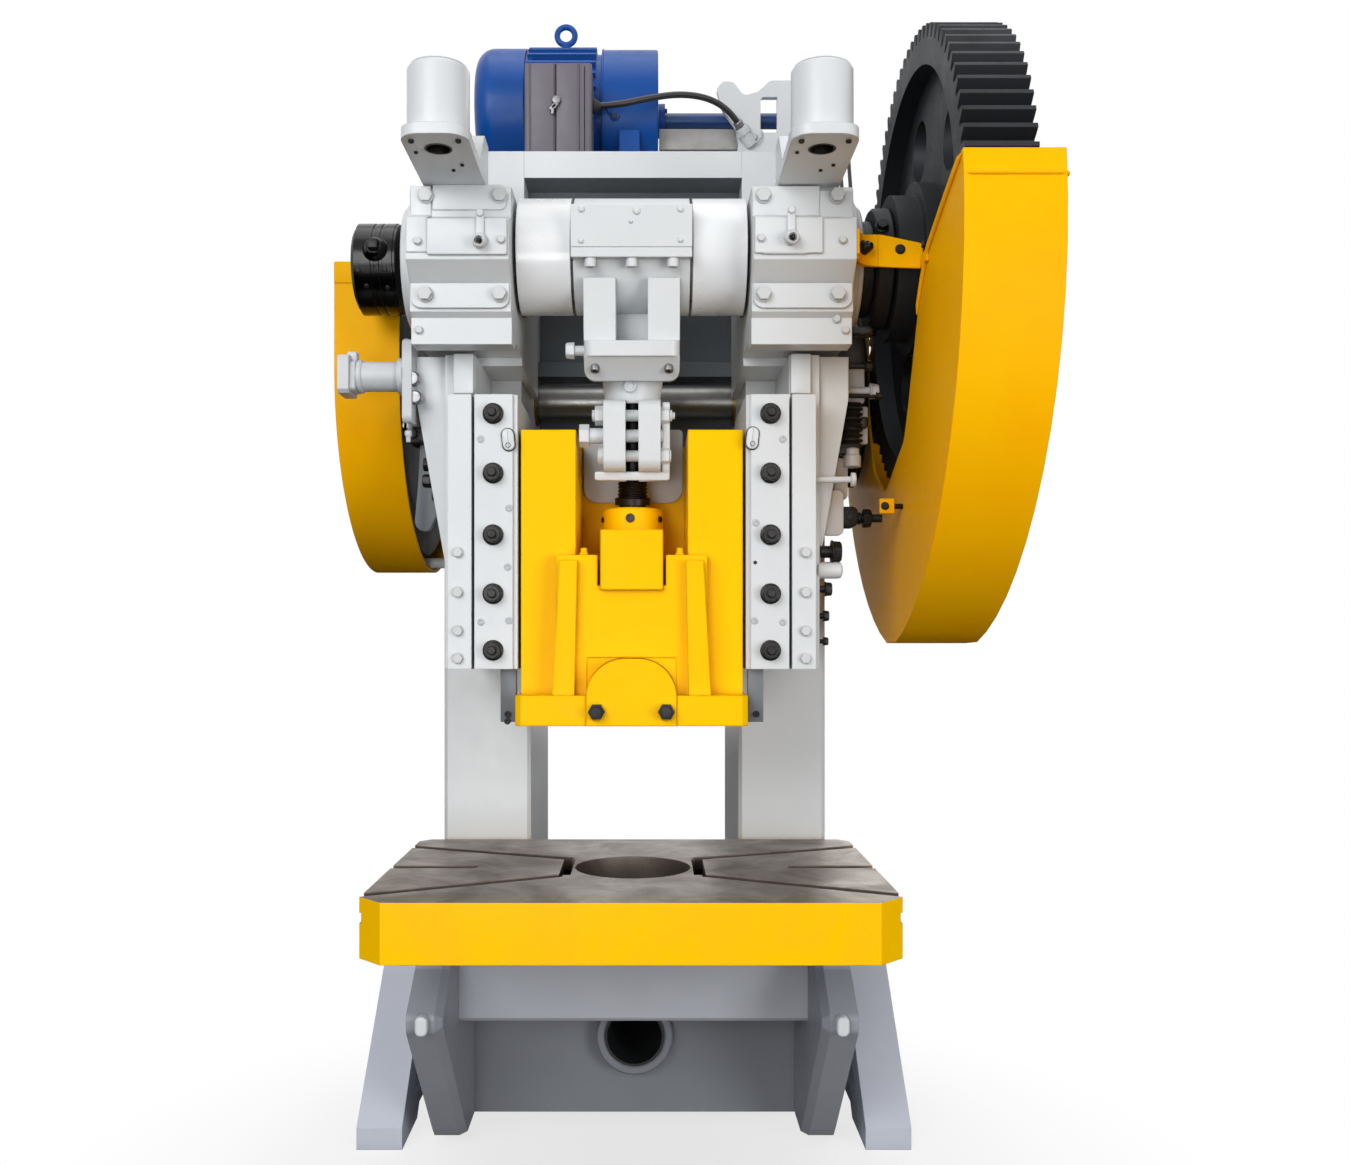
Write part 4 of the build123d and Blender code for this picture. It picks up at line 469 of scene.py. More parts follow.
smoother = bpy.data.node_groups.new("merge and smooth", "GeometryNodeTree")
smoother.interface.new_socket("Geometry", in_out="INPUT", socket_type="NodeSocketGeometry")
smoother.interface.new_socket("Geometry", in_out="OUTPUT", socket_type="NodeSocketGeometry")
loose = add(smoother, "NodeGroupInput")
merged = add(smoother, "GeometryNodeMergeByDistance", {"Geometry": loose, "Distance": MERGE_DISTANCE})
faces_smooth = add(smoother, "GeometryNodeSetShadeSmooth", {"Geometry": merged})
turn = add(smoother, "GeometryNodeInputMeshEdgeAngle")
sharp = maths(smoother, "GREATER_THAN", turn, math.radians(SHARP_DEGREES))
edges_sharp = add(smoother, "GeometryNodeSetShadeSmooth", {"Geometry": faces_smooth, "Selection": sharp,
                                                           "Shade Smooth": False}, domain="EDGE")
add(smoother, "NodeGroupOutput", {0: edges_sharp})

dressed = set()
for finish, names in FINISHES.items():
    for name in names.split():
        node = nodes[name]
        while len(node.material_slots) > 1:
            node.data.materials.pop()
        if not node.material_slots:
            node.data.materials.append(None)
        node.material_slots[0].link = "OBJECT"
        node.material_slots[0].material = finish
        node.modifiers.new("merge and smooth", "NODES").node_group = smoother
        dressed.add(name)
print("dressed:", len(dressed), "left bare:", sorted(set(nodes) - dressed))

# %% [markdown]
# ## Shapes from grids
# Every new piece here is a surface over two parameters: one goes round, the other goes along. A bolt
# head, a grease nipple and a pipe differ only in how the radius changes with the two. The grid of
# points is worked out at once with numpy, and one function joins neighbouring points with quads and
# closes both ends with a flat face. Lengths in these functions are millimetres, as on a drawing, and
# the many plain numbers in the lists further down are places and sizes read from the photo.

# %% Grid tools
FRONT, BACK, LEFT, RIGHT, UP, DOWN = (0, -1, 0), (0, 1, 0), (-1, 0, 0), (1, 0, 0), (0, 0, 1), (0, 0, -1)
BOTH = (-1, 1)


def shell(grid):
    """Quads between neighbours of an (m, n, 3) grid that closes round n, with a flat face at each end."""
    m, n = grid.shape[:2]
    i, j = np.meshgrid(np.arange(m - 1), np.arange(n), indexing="ij")
    a = i * n + j
    b = i * n + (j + 1) % n
    quads = np.stack([a, b, b + n, a + n], -1).reshape(-1, 4).tolist()
    ends = [list(range(n - 1, -1, -1)), list(range((m - 1) * n, m * n))]
    return grid.reshape(-1, 3), quads + ends


def around(rows, count):
    """Grid from rows of (radius at each angle, height): the point (r(t) cos t, r(t) sin t, h)."""
    t = np.arange(count) * 2 * np.pi / count
    return np.stack([np.stack([r * np.cos(t), r * np.sin(t), np.full(count, h)], -1) for r, h in rows])


def hexagonal(count):
    """Radius of a hexagon with unit flats' radius: 1/cos of the angle to the nearest flat."""
    t = np.arange(count) * 2 * np.pi / count
    return 1 / np.cos((t + np.pi / 6) % (np.pi / 3) - np.pi / 6)


def round_bar(profile, count=28):
    """Closed lathe shape from its (radius, height) profile, bottom first."""
    return shell(around([(np.full(count, float(r)), h) for r, h in profile], count))


def hex_bolt(flats, head, washer=0.0, washer_r=0.0, count=48):
    """Hexagon head on a round washer; its top edge is turned off to a circle."""
    r = flats / 2
    six = r * hexagonal(count)
    flat = np.full(count, float(washer_r))
    foot = [(flat - 0.4, 0), (flat, 0.4), (flat, washer - 0.5), (flat - 0.5, washer)] if washer else []
    first = [(np.minimum(six, r * 1.15), washer + head * 0.05 if washer else 0)]
    rest = [(six, washer + head * 0.1), (np.minimum(six, r * 1.1), washer + head * 0.86),
            (np.full(count, r * 0.99), washer + head * 0.95), (np.full(count, r * 0.96), washer + head)]
    return shell(around(foot + first + rest, count))


def socket_screw(r, head, count=36):
    """Cap screw head: a rounded cylinder whose top dips into a hexagon socket."""
    six = r * 0.5 * hexagonal(count)
    ring = np.ones(count)
    rows = [(ring * r, 0), (ring * r, head - r * 0.12), (ring * r * 0.9, head), (six * 1.04, head),
            (six, head - 0.15 * r), (six, head * 0.4), (six * 0.3, head * 0.36)]
    return shell(around(rows, count))


def rounded(corner_list, per_corner=6):
    """Flat outline through (u, v, radius) corners: each corner is an arc tangent to its two sides."""
    c = np.array(corner_list, float)
    p, r = c[:, :2], np.maximum(c[:, 2], 1e-3)
    back = np.roll(p, 1, 0) - p
    ahead = np.roll(p, -1, 0) - p
    back /= np.linalg.norm(back, axis=1)[:, None]
    ahead /= np.linalg.norm(ahead, axis=1)[:, None]
    half = np.arccos(np.clip((back * ahead).sum(1), -1, 1)) / 2
    reach = r / np.tan(half)
    middle = back + ahead
    centre = p + middle / np.linalg.norm(middle, axis=1)[:, None] * (r / np.sin(half))[:, None]
    first = p + back * reach[:, None] - centre
    last = p + ahead * reach[:, None] - centre
    start = np.arctan2(first[:, 1], first[:, 0])
    sweep = (np.arctan2(last[:, 1], last[:, 0]) - start + np.pi) % (2 * np.pi) - np.pi
    angle = start[:, None] + sweep[:, None] * np.linspace(0, 1, per_corner)
    points = centre[:, None, :] + r[:, None, None] * np.stack([np.cos(angle), np.sin(angle)], -1)
    return points.reshape(-1, 2)


def area(line):
    """Twice the signed area inside an outline; positive where it runs anticlockwise."""
    return (line[:, 0] * np.roll(line[:, 1], -1) - line[:, 1] * np.roll(line[:, 0], -1)).sum()


def inset(points, distance):
    """The outline moved inwards by a distance along the mean of its neighbours' normals."""
    side = np.roll(points, -1, 0) - np.roll(points, 1, 0)
    normal = np.stack([-side[:, 1], side[:, 0]], -1) / np.maximum(np.linalg.norm(side, axis=1), 1e-9)[:, None]
    return points + normal * distance * np.sign(area(points))


def plate(corner_list, z0, z1, edge=0.8, per_corner=6):
    """Flat plate with rounded rims: the outline at six heights, inset towards both faces."""
    line = rounded(corner_list, per_corner)
    line = line if area(line) > 0 else line[::-1]
    rows = [(edge, z0), (edge * 0.3, z0 + edge * 0.3), (0, z0 + edge),
            (0, z1 - edge), (edge * 0.3, z1 - edge * 0.3), (edge, z1)]
    return shell(np.stack([np.column_stack([inset(line, d), np.full(len(line), z)]) for d, z in rows]))


def pipe(path, r, count=16):
    """Tube round a path: at each point a circle across the path's own direction; r may vary."""
    path = np.array(path, float)
    along = np.gradient(path, axis=0)
    along /= np.linalg.norm(along, axis=1)[:, None]
    guide = np.array([0.0, 0.0, 1.0]) if abs(along[:, 2]).max() < 0.93 else np.array([0.31, 0.95, 0.05])
    u = np.cross(along, guide)
    u /= np.linalg.norm(u, axis=1)[:, None]
    v = np.cross(along, u)
    t = -np.arange(count) * 2 * np.pi / count
    radius = np.broadcast_to(np.array(r, float), (len(path),))[:, None, None]
    turns = np.cos(t)[None, :, None] * u[:, None, :] + np.sin(t)[None, :, None] * v[:, None, :]
    return shell(path[:, None, :] + radius * turns)


def put(shape, place, toward=UP, spin=0.0):
    """The shape turned so that its own Z looks toward a direction, then moved to its place."""
    z = np.array(toward, float) / np.linalg.norm(toward)
    x = np.cross((0, 0, 1) if abs(z[2]) < 0.9 else (0, 1, 0), z)
    x /= np.linalg.norm(x)
    y = np.cross(z, x)
    a = math.radians(spin)
    turned_axes = np.stack([x * math.cos(a) + y * math.sin(a), y * math.cos(a) - x * math.sin(a), z])
    return shape[0] @ turned_axes + np.array(place, float), shape[1]


def turned(profile, place, toward=UP, count=28):
    """A lathe shape in its place."""
    return put(round_bar(profile, count), place, toward)


def bolt_at(place, toward, flats, head, washer=0.0, washer_r=0.0, spin=0.0):
    """A hexagon head in its place."""
    return put(hex_bolt(flats, head, washer, washer_r), place, toward, spin)


def oblong(width, height, r):
    """Corners of a rectangle round the middle, all with one radius."""
    return [(u * width / 2, v * height / 2, r) for u, v in ((-1, -1), (1, -1), (1, 1), (-1, 1))]


def slab(corner_list, thick, edge, place, toward=FRONT, spin=0.0):
    """A plate in its place."""
    return put(plate(corner_list, 0, thick, edge), place, toward, spin)


def piece(name, shapes, material, body="frame", crease=35):
    """One object from several closed shapes, in metres, riding on a body of the press."""
    starts = np.cumsum([0] + [len(s[0]) for s in shapes])
    points = np.concatenate([s[0] for s in shapes]) * MM
    faces = [[v + int(start) for v in face] for s, start in zip(shapes, starts) for face in s[1]]
    mesh = bpy.data.meshes.new(name)
    mesh.from_pydata(points.tolist(), [], faces)
    mesh.polygons.foreach_set("use_smooth", np.ones(len(mesh.polygons), bool))
    mesh.set_sharp_from_angle(angle=math.radians(crease))
    mesh.materials.append(material)
    thing = bpy.data.objects.new(name, mesh)
    bpy.context.scene.collection.objects.link(thing)
    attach(thing, body)
    print(name, len(faces), "faces on", body)
    return thing


print("a bolt head has", len(hex_bolt(17, 8, 2.5, 11)[1]), "faces")

# %% [markdown]
# ## Fittings on the bearing caps
# The two front caps of the crank bearings carry cover plates, grease points and small screws. A cover
# plate follows the cap's folded face, so its side view is drawn once and pulled across the cap.

# %% Cap plates
CAP_FACE, CAP_FLANGE, CAP_FOOT, CAP_INSIDE = -178.0, -148.0, -138.0, 163.0
SHEET_T, COVER_T = 2.5, 5.4


def folded(profile, thick, x0, x1, edge=0.8):
    """Sheet that follows a (y, z) line: the line and its copy moved out by the thickness, from x0 to x1."""
    line = np.array(profile, float)
    along = np.gradient(line, axis=0)
    along /= np.linalg.norm(along, axis=1)[:, None]
    out = np.stack([-along[:, 1], along[:, 0]], -1)
    out *= -np.sign(out[:, :1] + 1e-9)
    section = np.vstack([line, (line + out * thick)[::-1]])
    section = section if area(section) > 0 else section[::-1]
    rows = [(edge * 0.4, x0), (0, x0 + edge), (0, x1 - edge), (edge * 0.4, x1)]
    return shell(np.stack([np.column_stack([np.full(len(section), x), inset(section, d)]) for d, x in rows]))


cap_line = [(CAP_FLANGE, z) for z in (949, 930, 908)] + [(CAP_FACE, z) for z in (896, 875, 851)]
ear = [(-50, -17, 1), (50, -17, 9), (50, 17, 9), (-50, 17, 1)]
covers = [folded(cap_line, SHEET_T, CAP_INSIDE + 1, 254), folded(cap_line, SHEET_T, -299, -271),
          slab(oblong(90, 47, 2), COVER_T, 1.0, (209, CAP_FACE, 872.5)),
          slab(oblong(106, 48, 2), COVER_T, 1.0, (-218, CAP_FACE, 871)),
          slab(ear, 3, 0.8, (-219, CAP_FLANGE, 934))]
piece("cap_covers", covers, white_enamel)
washer_line = [(10.5, 0), (11, 0.4), (11, 1.6), (10.5, 2)]
washers = [turned(washer_line, (x, CAP_FLANGE - 2.6, 936), FRONT, 36) for x in (-178, -278, 178)]
piece("cap_washers", washers, bolt_enamel)

# %% Grease points and small screws
CHANNEL_LINE = [(-5.5, -8, 5), (5.5, -8, 5), (5.5, 38, 5), (-5.5, 38, 5)]
CUP_LINE = [(10, 0), (10, 6), (9, 9), (8.6, 14), (7.6, 16), (5.8, 16.5), (5.4, 11)]
NIPPLE_LINE = [(3.6, 8), (3.6, 15), (2.2, 18), (2.6, 20), (1.4, 21.5)]
NIPPLE_WAY = (0, -1, -0.25)
COVER_FACE = CAP_FACE - COVER_T
grease_shapes, nipple_shapes = [], []
for x, z in ((-200, 868), (212, 872)):
    grease_shapes += [slab(CHANNEL_LINE, 4, 1.2, (x, COVER_FACE, z)),
                      bolt_at((x, COVER_FACE - 4, z + 32), FRONT, 9, 3.5),
                      turned(CUP_LINE, (x, COVER_FACE - 2, z - 4), NIPPLE_WAY)]
    nipple_shapes.append(turned(NIPPLE_LINE, (x, COVER_FACE - 2, z - 4), NIPPLE_WAY, 16))
piece("grease_channels", grease_shapes, white_enamel)
piece("grease_nipples", nipple_shapes, dark_steel)
places = [(-283, CAP_FACE - SHEET_T, 865), (-172, COVER_FACE, 866), (172, COVER_FACE, 868),
          (281, CAP_FACE, 867), (279, CAP_FOOT, 772), (291, CAP_FOOT, 757), (-289, CAP_FOOT, 757)]
piece("cap_screws", [bolt_at(p, FRONT, 9, 4, 1.5, 6, 12 * i) for i, p in enumerate(places)], bolt_enamel)

# %% [markdown]
# ## Counterbalance cylinders
# Each white cylinder stands on a bracket. Its lid is let in, with a vent plug on top, a bead runs
# round its foot, and the bracket is held by screws that show from below, because the camera is low.
# The rod's port in the bracket is lined with dark steel. A liner is a lathe shape whose profile runs
# down inside the bore and up again behind it, so that it is closed at its upper end.

# %% Cylinder trim
BALANCE_X, BALANCE_Y, BALANCE_TOP, BRACKET_Z, PORT_R = 240.0, -274.0, 1050.0, 951.0, 15.9
PORT_DEPTH, BEAD_RISE = 66, 14
lid = [(36, 0), (36, 1.2), (34.5, 2), (30, 2.4), (12, 2.6)]
foot_bead = [(39.3, 0), (41.5, 0.8), (42, 2.5), (41.5, 4.2), (39.3, 5)]
vent = [(5, 0), (5, 5), (4, 6.5), (2, 7)]
liner = [(1, PORT_DEPTH), (PORT_R - 0.7, PORT_DEPTH), (PORT_R - 0.7, -0.6), (PORT_R + 1.6, -0.6),
         (PORT_R + 1.6, -0.1), (PORT_R - 0.1, 0.3), (PORT_R - 0.1, PORT_DEPTH + 1), (1, PORT_DEPTH + 1)]
trim, bracket_screws, liners = [], [], []
for side in BOTH:
    x = side * BALANCE_X
    trim += [turned(lid, (x, BALANCE_Y, BALANCE_TOP), count=64),
             turned(foot_bead, (x, BALANCE_Y, BRACKET_Z + BEAD_RISE), count=64),
             turned(vent, (x - 4, BALANCE_Y - 8, BALANCE_TOP + 2), count=24)]
    liners.append(turned(liner, (x, BALANCE_Y, BRACKET_Z), count=40))
    for dx, dy in ((-29, -27), (29, -27), (8, 70), (22, 52), (-30, 10)):
        screw = socket_screw(3.6, 3) if dy < 0 else socket_screw(2.6, 2)
        bracket_screws.append(put(screw, (x + dx, BALANCE_Y + dy, BRACKET_Z), DOWN))
piece("balance_trim", trim, white_enamel)
piece("port_liners", liners, liner_steel)
piece("bracket_screws", bracket_screws, dark_steel)

# %% [markdown]
# ## Screws of the connecting rod
# The rod leans a little, because the crank pin stands forward of the ram. Its small parts are drawn
# upright round the crank pin's centre and then turned by the same lean, so that they sit on its faces.

# %% Rod hardware
CRANK_THROW, CRANK_Z, BALL_Z, ROD_FACE = 60.0, 879.0, 470.0, -98.0
ROD_TILT = math.atan2(CRANK_THROW, CRANK_Z - BALL_Z)
SLOPE = (0, -0.5, -0.87)


def on_rod(shape):
    """Turns a shape by the rod's lean about X and moves it from the origin to the crank pin."""
    c, s = math.cos(ROD_TILT), math.sin(ROD_TILT)
    turn_x = np.array([[1, 0, 0], [0, c, -s], [0, s, c]])
    return shape[0] @ turn_x.T + (0, -CRANK_THROW, CRANK_Z), shape[1]


face_places = ((-67, 49, 4.2), (7, 47, 5), (66, 49, 4.2), (-1, 33, 2.6), (-68, 8, 3.6), (66, 9, 3.6))
face_screws = [on_rod(turned([(r, 0), (r, 1.6), (r * 0.7, 2.6), (r * 0.2, 3)], (x, ROD_FACE, z), FRONT, 24))
               for x, z, r in face_places]
plug = [(9, -3), (9, 3), (7.6, 4.2), (6, 4.2), (5.4, 2.6), (1, 2.4)]
neck_plug = [on_rod(turned(plug, (-3, -42, -181), FRONT, 32))]
slope_head = [(6.2, -3), (6.2, 5), (5.6, 6), (3.4, 6), (3.2, 3)]
slope_hole = [(3.3, 2), (3.3, 5.2), (2.6, 5.4)]
slope_screws = [on_rod(turned(slope_head, (x, -74, -158), SLOPE)) for x in (-51, 51)]
slope_sockets = [on_rod(turned(slope_hole, (x, -74, -158), SLOPE, 6)) for x in (-51, 51)]
side_shank = [on_rod(turned([(7, 0), (7, 15), (6, 16)], (-66, -60, -134), LEFT, 24)),
              on_rod(bolt_at((-80, -60, -134), LEFT, 20, 12))]
piece("rod_face_screws", face_screws + neck_plug, white_enamel, "rod")
piece("rod_slope_screws", slope_screws, bright_fitting, "rod")
piece("rod_slope_sockets", slope_sockets, dark_steel, "rod")
piece("rod_side_bolt", side_shank, white_enamel, "rod")

# %% [markdown]
# ## The split clamp
# The rod's foot is split, and cross bolts pull its ears together on the screw. Added here are a thick
# ear on the right, the lip round the foot, two bolt heads, a stud end and a domed nut. All of them are
# painted over with the rod.

# %% Clamp ears and nuts
EAR_OUT, UPPER_BOLT_Z, LOWER_BOLT_Z = 40.0, -223, -279
ear_line = [(-44, -52, 10), (0, -52, 10), (0, 50, 8), (-44, 50, 8)]
lip_line = [(-53, -6, 4), (53, -6, 4), (53, 6, 2), (-53, 6, 2)]
dome_nut = [(12, 0), (12, 5), (10.5, 8), (6, 9.4), (1, 9.8)]
ears = [slab(ear_line, 11, 1.0, (EAR_OUT + 2, -20, -254), RIGHT), slab(lip_line, 42, 0.8, (0, -20, -307)),
        bolt_at((EAR_OUT, -60, UPPER_BOLT_Z), RIGHT, 15, 10, 3, 9),
        bolt_at((EAR_OUT, -60, LOWER_BOLT_Z), RIGHT, 17, 12, 3, 11, 15),
        turned(dome_nut, (-EAR_OUT, -60, LOWER_BOLT_Z), LEFT, 32),
        turned([(5, 0), (5, 7), (4, 8)], (EAR_OUT + 12, -60, UPPER_BOLT_Z), RIGHT, 20)]
piece("clamp_ears", [on_rod(shape) for shape in ears], white_enamel, "rod")

# %% [markdown]
# ## The screw thread
# The adjusting screw is a plain bar in the solids. A thread is a lathe shape whose radius also changes
# with the angle: the radius is a triangle wave of height over pitch minus the share of a full turn.

# %% Cut the thread
def thread(r, z0, z1, pitch, deep, count=40):
    """Radius r + deep (1 - |2 frac(z/pitch - t/2 pi) - 1|) over the height z and the angle t."""
    t = np.arange(count) * 2 * np.pi / count
    z = np.linspace(z0, z1, int((z1 - z0) / pitch * 10) + 1)
    wave = 1 - np.abs(2 * ((z[:, None] / pitch - t[None, :] / (2 * np.pi)) % 1) - 1)
    return shell(around(zip(r + deep * wave, z), count))


SCREW_R, THREAD_FOOT, THREAD_TOP, THREAD_PITCH, THREAD_DEPTH = 20.1, -345, -315.4, 5.0, 1.9
screw_thread = on_rod(thread(SCREW_R, THREAD_FOOT, THREAD_TOP, THREAD_PITCH, THREAD_DEPTH))
piece("rod_thread", [screw_thread], oiled_thread, "rod", crease=60)

# %% [markdown]
# ## Small parts of the ram
# The ball cap is locked by dark set screws, two studs stand on the panel, and the panel's two clamp
# screws sit on round pads. They all move with the ram.

# %% Ram hardware
BALL_CAP_R, BALL_CAP_Z, CLAMP_FACE = 44.5, 510.0, -154.0
lock_screws = []
for degrees, size in ((-74, 4.0), (-4, 6.5), (62, 4.6)):
    x, y = math.sin(math.radians(degrees)), -math.cos(math.radians(degrees))
    lock_screws.append(put(socket_screw(size, 2.5), (BALL_CAP_R * x, BALL_CAP_R * y, BALL_CAP_Z), (x, y, 0)))
stud, pad = [(6, 0), (6, 3), (4.5, 4), (4.5, 9), (3.5, 10)], [(13, 0), (13, 2.4), (12, 3.2)]
panel_studs = [turned(stud, (x, -118, 452), UP, 20) for x in (-66, 66)]
panel_studs += [turned(pad, (x, CLAMP_FACE, 239), FRONT, 32) for x in (-47, 47)]
piece("cap_lock_screws", lock_screws, dark_steel, "slide")
piece("panel_studs", panel_studs, yellow_enamel, "slide")

# %% [markdown]
# The tool clamp below the ball is half round, and it stands in a square pocket. Each corner between the
# clamp's arc and the pocket gets a filler, whose outline is that corner with the arc cut out.

# %% Clamp corners
POCKET_HALF, POCKET_TOP, POCKET_FACE = 61.2, 310.8, -101.4
ARC_X, ARC_Z, ARC_R, FILLER_T = 9, 258, 52.6, 24
arc_turn = np.radians(np.linspace(0, 90, 10))[1:-1]
corner_line = [(POCKET_HALF, ARC_Z), (POCKET_HALF, POCKET_TOP), (ARC_X, POCKET_TOP)]
corner_line += [(ARC_X + ARC_R * math.sin(a), ARC_Z + ARC_R * math.cos(a)) for a in arc_turn]
fillers = [put(plate([(u * side, v, 0) for u, v in corner_line], 0, FILLER_T, 0.3, 2),
               (0, POCKET_FACE, 0), FRONT) for side in BOTH]
piece("clamp_corners", fillers, yellow_enamel, "slide")

# %% [markdown]
# ## Small parts of the guides
# Each guide plate has an oval lug with a hole near its top, a few blind plugs between the big bolts,
# and a dark stop plate below, against which the knock-out bar works.

# %% Guide hardware
GUIDE_FACE, STOP_X, STRIP_X = -118.0, 172, 237
LUGS = ((-170, 611, 6), (166, 613, -6))
PLUGS = ((-208, 612), (-169, 517), (-171, 436), (-169, 362), (169, 362), (208, 612), (171, 497),
         (208, 360), (-208, 360))
lug_rims = [slab(oblong(19, 33, 9.49), 1.2, 0.3, (x, GUIDE_FACE, z), FRONT, spin) for x, z, spin in LUGS]
lug_shapes = [slab(oblong(16, 30, 7.99), 5, 1.2, (x, GUIDE_FACE, z), FRONT, spin) for x, z, spin in LUGS]
eye_line = [(3.6, 0), (3.6, 5.3), (2.8, 5.3), (2.6, 1.0)]
lug_holes = [turned(eye_line, (x, GUIDE_FACE, z - 8), FRONT, 24) for x, z, spin in LUGS]
blind = [(5, 0), (5, 0.8), (4.4, 1.2), (2.4, 1.2), (2.2, 0.6), (0.6, 0.6)]
pin_hole = [turned([(2.6, 0), (2.6, 0.5), (1.6, 0.7)], (170, GUIDE_FACE, 442), FRONT, 20)]
stop_pins = [put(socket_screw(4.5, 4), (x, -100, z), FRONT)
             for x, z in ((-173, 232), (-173, 222), (173, 232))]
piece("gib_lugs", lug_shapes, white_enamel)
plugs = [turned(blind, (x, GUIDE_FACE, z), FRONT, 24) for x, z in PLUGS]
piece("gib_plugs", plugs, light_enamel)
piece("gib_lug_eyes", lug_rims + lug_holes + pin_hole + stop_pins, dark_steel)
stops = [slab(oblong(22, 76, 1), 12, 0.8, (x, -88, 259)) for x in (-STOP_X, STOP_X)]
piece("knockout_stops", stops, stop_enamel)
blocks = [slab(oblong(28, 56, 2), 14, 1.0, (x, -72, 709)) for x in (-STRIP_X, STRIP_X)]
piece("strip_blocks", blocks, white_enamel)

# %% [markdown]
# ## Bolts of the guides
# Five black bolts hold each guide plate, each on a thick round washer, with the end of the adjusting
# stud standing out of the head.

# %% Guide bolts
GUIDE_BOLT_X, GUIDE_BOLT_Z = 191.0, (647.0, 565.0, 480.0, 399.0, 321.0)
guide_bolts = []
for i, z in enumerate(GUIDE_BOLT_Z):
    for side in BOTH:
        at = (side * GUIDE_BOLT_X, GUIDE_FACE, z)
        guide_bolts += [bolt_at(at, FRONT, 22, 12, 4, 14.3, 13 * i + 7 * side),
                        turned([(6, 0), (6, 20), (5, 21)], at, FRONT, 24)]
guide = piece("guide_bolts", guide_bolts, dark_steel)
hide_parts("gib_bolts")

# %% [markdown]
# ## The terminal box
# The motor's terminal box is folded from sheet steel in two halves. A seam runs down its front, a tab
# stands at its top, and a quarter turn latch with a wing screw holds the halves together. The seam is a
# dark strip that lies lower than the sheets beside it, because a line that is only drawn has no edge
# to catch light.

# %% Box trim
BOX_FACE, BOX_TOP, BOX_FOOT, SEAM_X = 255.0, 1303.0, 1139.0, -133.0
BOX_MIDDLE = (BOX_TOP + BOX_FOOT) / 2
HALF_H = (BOX_TOP - BOX_FOOT) / 2


def strip(x, half, z_half, thick, edge=0.5):
    """Upright flat strip on the box's front face."""
    return slab(oblong(2 * half, 2 * z_half, 1), thick, edge, (x, BOX_FACE, BOX_MIDDLE))


shell_line = [(-56.5, 0, 5), (-56.5, -78, 5), (56.5, -78, 5), (56.5, 0, 5)]
piece("box_front", [put(plate(shell_line, BOX_FOOT, BOX_TOP - 1, 1.5), (-128.5, 333, 0))], brown_enamel)
halves = [strip(-155.5, 20, HALF_H - 3, 2.2), strip(-112, 19.2, HALF_H - 3, 2.2),
          slab([(-30, -9, 2), (30, -9, 2), (30, 9, 4), (-30, 9, 4)], 6, 1.0, (-132, 286, BOX_TOP - 1), UP),
          slab(oblong(48, 10, 2), 3, 0.8, (-132, 285, BOX_TOP + 5), UP)]
ridges = [strip(-94, 1.6, HALF_H - 2, 3.4, 1.2), strip(-175, 1.4, HALF_H - 2, 3.2, 1.2),
          strip(-84, 0.8, HALF_H - 8, 1.0)]
piece("box_halves", halves, brown_enamel)
piece("box_ridges", ridges, brown_enamel)
piece("box_seam", [strip(SEAM_X + 0.2, 1.2, HALF_H - 3, 0.7, 0.1)], dark_steel)
knob = [(7.5, 0), (7.5, 4), (6.6, 6), (3, 7), (0.6, 7.2)]
latch = [turned(knob, (SEAM_X + 2, BOX_FACE - 2, 1237), FRONT, 32),
         slab(oblong(18, 6, 2.9), 4, 1.2, (SEAM_X - 2, BOX_FACE - 5, 1226), FRONT, 38),
         slab(oblong(14, 4.8, 2.3), 4, 1.2, (SEAM_X - 4, BOX_FACE - 5, 1219), FRONT, 84),
         turned([(4.5, 0), (4.5, 6), (3.4, 7)], (SEAM_X - 2, BOX_FACE - 2, 1226), FRONT, 24)]
piece("box_latch", latch, bright_fitting)
bush = [(13, 0), (13, 4), (11, 6), (9.5, 9), (8, 11), (7, 13), (6.2, 14)]
piece("box_bush", [turned(bush, (-73, 304, 1250), RIGHT, 32)], belt_rubber)

# %% [markdown]
# ## Small parts of the motor
# An earth screw sits low on the drum, with a rib of the casting beside it. A ring stands where the cowl
# meets the body, and three screws hold the bearing. The cable ends in a plated gland that is screwed to
# the white bracket.

# %% Motor trim
MOTOR_Y, MOTOR_Z, SHIELD_R = 470.0, 1292.0, 120.0
EARTH_X, EARTH_BELOW = -36, math.radians(18)


def on_drum(shape, x, below, r, centre=(MOTOR_Y, MOTOR_Z)):
    """Sets a shape on a drum along X, so many radians below its front, looking outwards."""
    y, z = -math.cos(below), -math.sin(below)
    return put(shape, (x, centre[0] + r * y, centre[1] + r * z), (0, y, z))


rib_turn = np.radians(np.linspace(4, 22, 12))
rib_r = SHIELD_R + 0.5
rib_line = np.column_stack([np.linspace(-62, -36, 12), MOTOR_Y - rib_r * np.cos(rib_turn),
                            MOTOR_Z - rib_r * np.sin(rib_turn)])
joint_line = [(SHIELD_R + 0.2, 0), (SHIELD_R + 1.6, 0.6), (SHIELD_R + 1.6, 3.4), (SHIELD_R + 0.2, 4)]
motor_trim = [on_drum(round_bar([(9, -2), (9, 3), (7.5, 4)]), EARTH_X, EARTH_BELOW, SHIELD_R),
              pipe(rib_line, [1.0, 2.4, 2.8] + [3.0] * 7 + [2.6, 1.0]),
              turned(joint_line, (-60, MOTOR_Y, MOTOR_Z), RIGHT, 96)]
piece("motor_trim", motor_trim, blue_enamel)
shield_screws = [on_drum(hex_bolt(9, 4), EARTH_X, EARTH_BELOW, SHIELD_R + 3)]
for a in (0.5, 2.6, 4.7):
    at = (54, MOTOR_Y + 22 * math.cos(a), MOTOR_Z + 22 * math.sin(a))
    shield_screws.append(put(socket_screw(4, 4), at, RIGHT))
